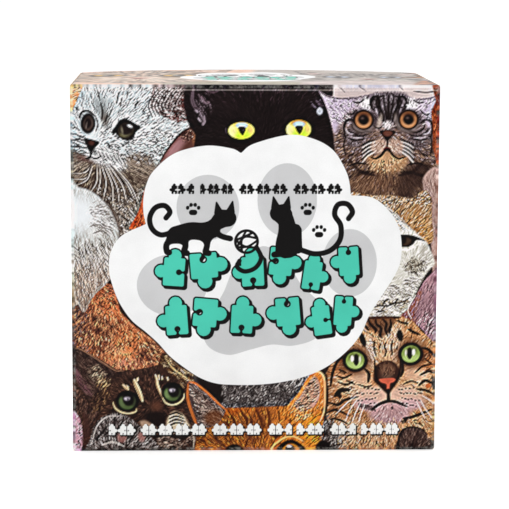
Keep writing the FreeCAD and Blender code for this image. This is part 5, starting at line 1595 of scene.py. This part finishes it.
def photo_camera(centre):
    """The camera where the photograph was taken from: a long lens, a little above the box."""
    pitch, yaw, roll = (math.radians(a) for a in (CAMERA_PITCH, CAMERA_YAW, CAMERA_ROLL))
    tilt = Matrix(((1, 0, 0), (0, math.cos(pitch), -math.sin(pitch)),
        (0, math.sin(pitch), math.cos(pitch))))
    pan = Matrix(((math.cos(yaw), 0, math.sin(yaw)), (0, 1, 0), (-math.sin(yaw), 0, math.cos(yaw))))
    spin = Matrix(((math.cos(roll), -math.sin(roll), 0), (math.sin(roll), math.cos(roll), 0), (0, 0, 1)))
    upright = Matrix(((1, 0, 0), (0, 0, 1), (0, -1, 0)))
    to_camera = spin @ tilt @ pan @ upright
    place = Vector(centre) - to_camera.transposed() @ Vector([a * MM for a in CAMERA_OFFSET])
    data = bpy.data.cameras.new("photo")
    data.lens = CAMERA_LENS
    data.sensor_width = 36
    data.clip_start = 0.01
    camera = bpy.data.objects.new("photo", data)
    camera.matrix_world = Matrix.Translation(place) @ to_camera.transposed().to_4x4()
    bpy.context.scene.collection.objects.link(camera)
    bpy.context.scene.camera = camera


# ---- the printed pictures and the whole object


def small_badge(p, marks, face, centre, turn):
    """The face's badge again at a smaller size, as distance fields of this picture."""
    c, s = math.cos(math.radians(turn)), math.sin(math.radians(turn))
    x, y = (p.u - centre[0]) / SMALL_BADGE, (p.v - centre[1]) / SMALL_BADGE
    u, v = x * c + y * s, y * c - x * s + BADGE_MIDDLE
    near = (np.abs(u) < BADGE_REACH[0]) & (np.abs(v - 50) < BADGE_REACH[1])
    small = {}
    for key, grid in marks.items():
        small[key] = np.where(near, sampled(face, grid, u, v) * SMALL_BADGE, FAR)
    return small


def skirt_art(shell, face, marks):
    """The printed sides: more of the cats, with the badge small in the middle of each side."""
    lengths = (shell.width, shell.height) * 2
    p = Picture((0, sum(lengths)), (-2, shell.depth + TURN_IN + 2), SKIRT_CELL, "6d5346", 21)
    p.tint(p.clouds(9), "4a352c", 0.8)
    p.fur(np.ones(p.u.shape), along(70), ("8a6a56", "2a1d18", "b08c70", "5b4336"), 1.6, 3.0, 0.6)
    fields = {key: np.full(p.u.shape, FAR) for key in marks}
    start = 0.0
    for side, length in enumerate(lengths):
        turn = SIDE_TURNS[side]
        c, s = math.cos(math.radians(turn)), math.sin(math.radians(turn))
        centre = (start + length / 2 - 1.2 * c, shell.depth / 2 + 1.5)
        upright = side % 2 == 0
        across, tall = (length, shell.depth) if upright else (shell.depth, length)
        columns, rows = round(across / CAT_PITCH[0]), round(tall / CAT_PITCH[1])
        for row in range(rows):
            for k in range(-1, columns + 1):
                x = ((k + 0.5 + 0.5 * (row % 2)) / columns - 0.5) * across
                y = (0.5 - (row + 0.4) / rows) * tall
                place = (start + length / 2 + x * c - y * s, shell.depth / 2 + x * s + y * c)
                if start - 6 < place[0] < start + length + 6:
                    coat = COATS[(2 * k + 3 * row + side) % len(COATS)]
                    cat_head(p, *place, 1.3 + 0.08 * (k % 3), coat, IRISES[(k + side + row) % 4],
                        turn + 8 * math.sin(3 * k + row + side))
        if side == 0:
            top_strip(p, start + length / 2, shell.depth)
        for key, grid in small_badge(p, marks, face, centre, turn).items():
            fields[key] = np.minimum(fields[key], grid)
        start += length
    return p, fields


def top_strip(p, middle, depth):
    """The top side: a peach cat on the left and a grey one on the right, over pale fur at the front."""
    left = p.area([(0, -3), (middle + 6, -3), (middle - 2, 20), (middle + 4, depth + 12), (0, depth + 12)],
        2.0, rounded=False)
    right = p.area([(middle + 6, -3), (2 * middle, -3), (2 * middle, depth + 12), (middle + 4, depth + 12),
        (middle - 2, 20)], 2.0, rounded=False)
    p.ground(left, "e6c6b0", 7, "f3e0d0", 0.8)
    p.fur(left, along(8), ("c0967a", "faece0", "d8b098", "e8a488"), 3.0, 5.0, 0.6, 0.2)
    p.ground(right, "a09790", 7, "bab1aa", 0.8)
    p.fur(right, along(15), ("857c76", "cac1ba", "9f958e"), 3.0, 4.0, 0.55, 0.3)
    for x, y, size, coat, iris, tilt in TOP_CATS:
        cat_head(p, middle + x, depth / 2 + y, size, coat, iris, tilt)
    band = p.area([(middle - 20, -3), (middle + 12, -3), (middle + 14, 7), (middle, 13), (middle - 22, 8)],
        1.5)
    p.tint(band, "8f8672", 0.9)
    p.fur(band, along(12), ("aca38c", "6a6250", "bdb49d"), 3.0, 3.0, 0.6)
    front = p.area([(middle + 14, -3), (2 * middle - 4, -3), (2 * middle - 6, 12), (middle + 34, 16),
        (middle + 16, 14)], 1.5)
    p.tint(front, "cbbab6", 0.95)
    p.fur(front, along(20), ("e4d6d2", "8d7c7c", "b7a5a2"), 2.0, 3.0, 0.5)
    corner = p.area([(2 * middle - 6, -3), (2 * middle, -3), (2 * middle, 18), (2 * middle - 3, 14)], 1.0)
    p.tint(corner, "b8683c", 0.9)
    p.fur(corner, along(70), ("e0905c", "5a2a16"), 3.0, 2.0, 0.7)
    # a pale wash over the whole top side: painted glare, the top made lighter where it faces the light from
    # above
    p.tint(left + right, "ffe8d6", 0.13)


def cat_head(p, cu, cv, size, coat, iris, tilt):
    """One small cat's head with its ears, eyes, nose and whiskers."""
    c, s = math.cos(math.radians(tilt)), math.sin(math.radians(tilt))

    def at(x, y):
        return (cu + size * (x * c - y * s), cv + size * (x * s + y * c))

    outline = [at(*q) for q in ((-9, 11), (-8.6, 4), (-10, -3), (-7, -9), (0, -11), (7, -9), (10, -3),
        (8.6, 4), (9, 11), (4.4, 7.4), (0, 8), (-4.4, 7.4))]
    head = p.area(outline, 0.4)
    p.tint(head, coat[0])
    p.tint(head * p.blob(at(0, -6), (5 * size, 4 * size), 0, 2), coat[2], 0.7)
    p.fur(head, away(*at(0, -2)), (coat[1], coat[2], INK), 2.2, 1.8 * size, 0.6)
    for side in (-1, 1):
        ear = p.area([at(side * 8, 9), at(side * 7.4, 5), at(side * 4.8, 6.6)], 0.3, rounded=False)
        p.tint(ear, "b98a86", 0.8)
        p.fur(ear, away(*at(side * 6, 3)), (coat[1], coat[2]), 2.0, 1.4, 0.7)
        eye = at(side * 3.9, 0.8)
        for radii, paint in (((2.2, 1.9), "120d0c"), ((1.7, 1.4), iris), ((0.75, 1.2), "120d0c")):
            p.tint(p.blob(eye, (radii[0] * size, radii[1] * size), tilt, 0.3), paint)
        p.tint(p.blob(at(side * 3.9 - 0.4, 1.4), (0.4 * size, 0.35 * size), tilt, 0.3), "f2f4f2", 0.9)
        p.line([at(side * 1.6, 0.2), at(side * 3.2, 3.0), at(side * 6.2, 2.2)], coat[2], 0.6, 0.7, soft=0.3)
        p.tint(p.blob(at(side * 2.1, -4.6), (2.0 * size, 1.5 * size), tilt, 0.8), coat[2], 0.55)
        p.line([at(0, -4.4), at(side * 1.6, -5.6), at(side * 3.4, -5)], INK, 0.5, 0.9, soft=0.3)
        for k in range(3):
            p.line([at(side * 3.5, -3.4 - 0.6 * k), at(side * 9.5, -2.6 - 1.6 * k)], "f4efe8", 0.3, 0.7,
                soft=0.3)
            p.line([at(side * (0.6 + k * 1.5), 7.4), at(side * (0.5 + k), 3.8)], INK, 0.7, 0.75, soft=0.3)
            p.line([at(side * 8.6, 0.4 - 2.2 * k), at(side * 6.4, -0.4 - 1.8 * k)], INK, 0.6, 0.6, soft=0.3)
    p.patch([at(-1.3, -2.6), at(1.3, -2.6), at(0, -4.2)], 0.3, "8a4a40")
    p.line(outline + outline[:1], INK, 0.5, 0.6, taper=False, soft=0.3)


def middle_cats(p):
    """The cats that the badge hides on the lid, for the picture of the finished puzzle."""
    crowd = ((-18, 68, 1.35, 0, "9fb06a", 8), (16, 66, 1.3, 3, "c99a3c", -6),
        (-27, 47, 1.2, 2, "dfe27a", -8), (28, 47, 1.15, 4, "8fae6c", 10), (0, 53, 1.5, 1, "c99a3c", 4),
        (-14, 34, 1.35, 5, "9fb06a", -10), (15, 35, 1.4, 0, "8fae6c", 6))
    for cu, cv, size, coat, iris, tilt in crowd:
        cat_head(p, cu, cv, size, COATS[coat], iris, tilt)


def tray_art(shell):
    """The back of the tray: teal, with the finished picture framed in white above a row of jigsaw pieces."""
    p = Picture((-shell.half + FOLD, shell.half - FOLD), (shell.foot + FOLD, shell.top - FOLD), 0.3,
        TRAY_TEAL, 31)
    p.tint(p.clouds(20), TRAY_TEAL_PALE, 0.5)
    for k in range(40):
        centre = (p.rng.uniform(-44, 44), p.rng.uniform(4, 92))
        shape = jigsaw(centre, (9, 9), p.rng.uniform(0, 360), TAB_TURNS[k % 6], 0.6)
        p.tint(p.area(shape, 0.2, rounded=False), TRAY_TEAL_DARK, 0.35)
    finished = Picture(*FACE_SPAN, 0.5, DEEP_BROWN, BASE_SEED)
    cats(finished)
    middle_cats(finished)
    u, v = p.u / PICTURE_SCALE, 48 + (p.v - PICTURE_MIDDLE) / PICTURE_SCALE
    inner = (np.abs(u) < PICTURE_HALF) & (np.abs(v - 48) < PICTURE_HALF)
    half = PICTURE_HALF * PICTURE_SCALE
    reach = half + PICTURE_BORDER
    frame_edge = (np.abs(p.u) < reach) & (np.abs(p.v - PICTURE_MIDDLE) < reach)
    p.rgb[frame_edge] = colour("f4f3ee")
    p.rgb[inner] = sampled(finished, finished.rgb, u[inner], v[inner])
    cut = jigsaw_cuts(p, half, PICTURE_MIDDLE, 10)
    p.tint(cut * inner, "0d0a09", 0.55)
    row = [jigsaw((-30 + 12 * k, 13.0), (8.6, 9.0), 8 * math.sin(2.1 * k), TAB_TURNS[k], 0.7)
        for k in range(6)]
    fields = {key: np.full(p.u.shape, FAR) for key in ("badge", "pads", "ink")}
    fields["shade"] = np.minimum(field(p, row, 0.7), field(p, shifted(row, 0.5, -0.5), 0.7))
    fields["white"] = field(p, row, 0.3)
    fields["teal"] = np.full(p.u.shape, FAR)
    return p, fields


def jigsaw_cuts(p, half, centre, count):
    """The cut lines between the pieces of a finished puzzle, with a knob on each."""
    pitch = 2 * half / count
    cover = np.zeros(p.u.shape)
    a, b = (p.u + half) / pitch, (p.v - centre + half) / pitch
    for x, y in ((a, b), (b, a)):
        line = np.round(x)
        cell = np.floor(y)
        side = np.where(((line * 7 + cell * 5) % 3) > 1, 1, -1)
        across = (x - line) * side
        along_cut = y - cell - 0.5
        knob = np.hypot(across - 0.13, along_cut) - 0.12
        straight = np.where(np.abs(along_cut) > 0.07, np.abs(across), 1.0)
        on_knob = np.where((np.abs(along_cut) > 0.07) | (across > 0.1), np.abs(knob), 1.0)
        near = np.minimum(straight, on_knob) * pitch
        inner = (line > 0) & (line < count)
        cover = np.maximum(cover, smooth((0.28 - near) / 0.2) * inner)
    return cover


def tray_side_art(shell):
    """The sides of the tray: the same teal, with faint jigsaw pieces."""
    around = 2 * (shell.width + shell.height)
    p = Picture((0, around), (-2, shell.depth + TURN_IN + 2), SKIRT_CELL, TRAY_TEAL, 41)
    p.tint(p.clouds(18), TRAY_TEAL_PALE, 0.5)
    for k in range(150):
        centre = (p.rng.uniform(0, around), p.rng.uniform(0, shell.depth + TURN_IN))
        p.tint(p.area(jigsaw(centre, (9, 9), p.rng.uniform(0, 360), TAB_TURNS[k % 6], 0.6), 0.3,
            rounded=False), TRAY_TEAL_DARK, 0.35)
    return p, {key: np.full(p.u.shape, FAR) for key, _ in MARKS}


def build_lid():
    """The lid: its printed face and sides, and its four bowed boards."""
    shell = Shell("lid_wrap", True, LID_BOWS)
    shell.foot = 0.0
    shell.height = shell.top
    face = Picture((-shell.half + FOLD, shell.half - FOLD), (FOLD, shell.top - FOLD), CELL / 2, DEEP_BROWN,
        BASE_SEED)
    cats(face)
    # a pale line painted along the crease under the top edge: a painted highlight where the crease's ridge
    # catches the light
    face.line([(-47, shell.top - CREASE), (47, shell.top - CREASE)], "e9dfd6", 0.35, 0.4, taper=False)
    face = face.halved()
    for reach, amount in CRISPNESS:
        face.crisp(amount, reach)
    face.rgb = np.clip(face.rgb - INK_DEPTH, 0, 1)
    paper = printed_paper("lid_laminate")
    marks = face_fields(face)
    front = panel_piece("lid_print_face", shell, face, marks, 1.0)
    sides, fields = skirt_art(shell, face, marks)
    skirt = side_piece("lid_print_sides", shell, sides, fields, face, 0.55)
    for piece in (front, skirt):
        piece.data.materials.append(paper)
        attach(piece, "lid")
        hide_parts("lid_wrap", "lid_wrap_foot_flap")
    board = greyboard("lid_greyboard")
    for side, where in enumerate(("top", "right", "bottom", "left")):
        node = f"lid_{where}_board"
        piece = board_piece(node, f"lid_{where}_card", shell, side)
        piece.data.materials.append(board)
        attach(piece, "lid")
        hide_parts(node)


def build_tray():
    """The tray: its printed back and sides."""
    shell = Shell("tray_wrap", False)
    paper = printed_paper("tray_laminate")
    back, fields = tray_art(shell)
    panel = panel_piece("tray_print_back", shell, back, fields, 0.6)
    sides, side_fields = tray_side_art(shell)
    skirt = side_piece("tray_print_sides", shell, sides, side_fields, back, 0.7)
    for piece in (panel, skirt):
        piece.data.materials.append(paper)
        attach(piece, "tray")
        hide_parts("tray_wrap")


def dress_frame():
    """Materials for the CAD nodes that stay on show, and the film round the pieces."""
    board, tape = greyboard("board"), kraft_tape("tape")
    for name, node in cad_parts.items():
        if name.endswith("_board") or name.endswith("_tapes"):
            node.data.materials.clear()
            node.data.materials.append(tape if name.endswith("_tapes") else board)
    edge, back = piece_edge("piece_edge"), piece_back("piece_back")
    prints = [piece_print(f"piece_print_{k}", *coat) for k, coat in enumerate(COATS)]
    rng = np.random.default_rng(8)
    for name in sorted(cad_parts):
        if name.startswith("puzzle_row"):
            dress_pieces(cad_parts[name], edge, back, prints, rng)
    bag = film_bag("bag_film")
    bag.data.materials.append(clear_film("film"))
    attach(bag, "bag_of_pieces")
    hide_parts("clear_bag")


build_lid()
build_tray()
dress_frame()
studio()
photo_camera(MIDDLE)
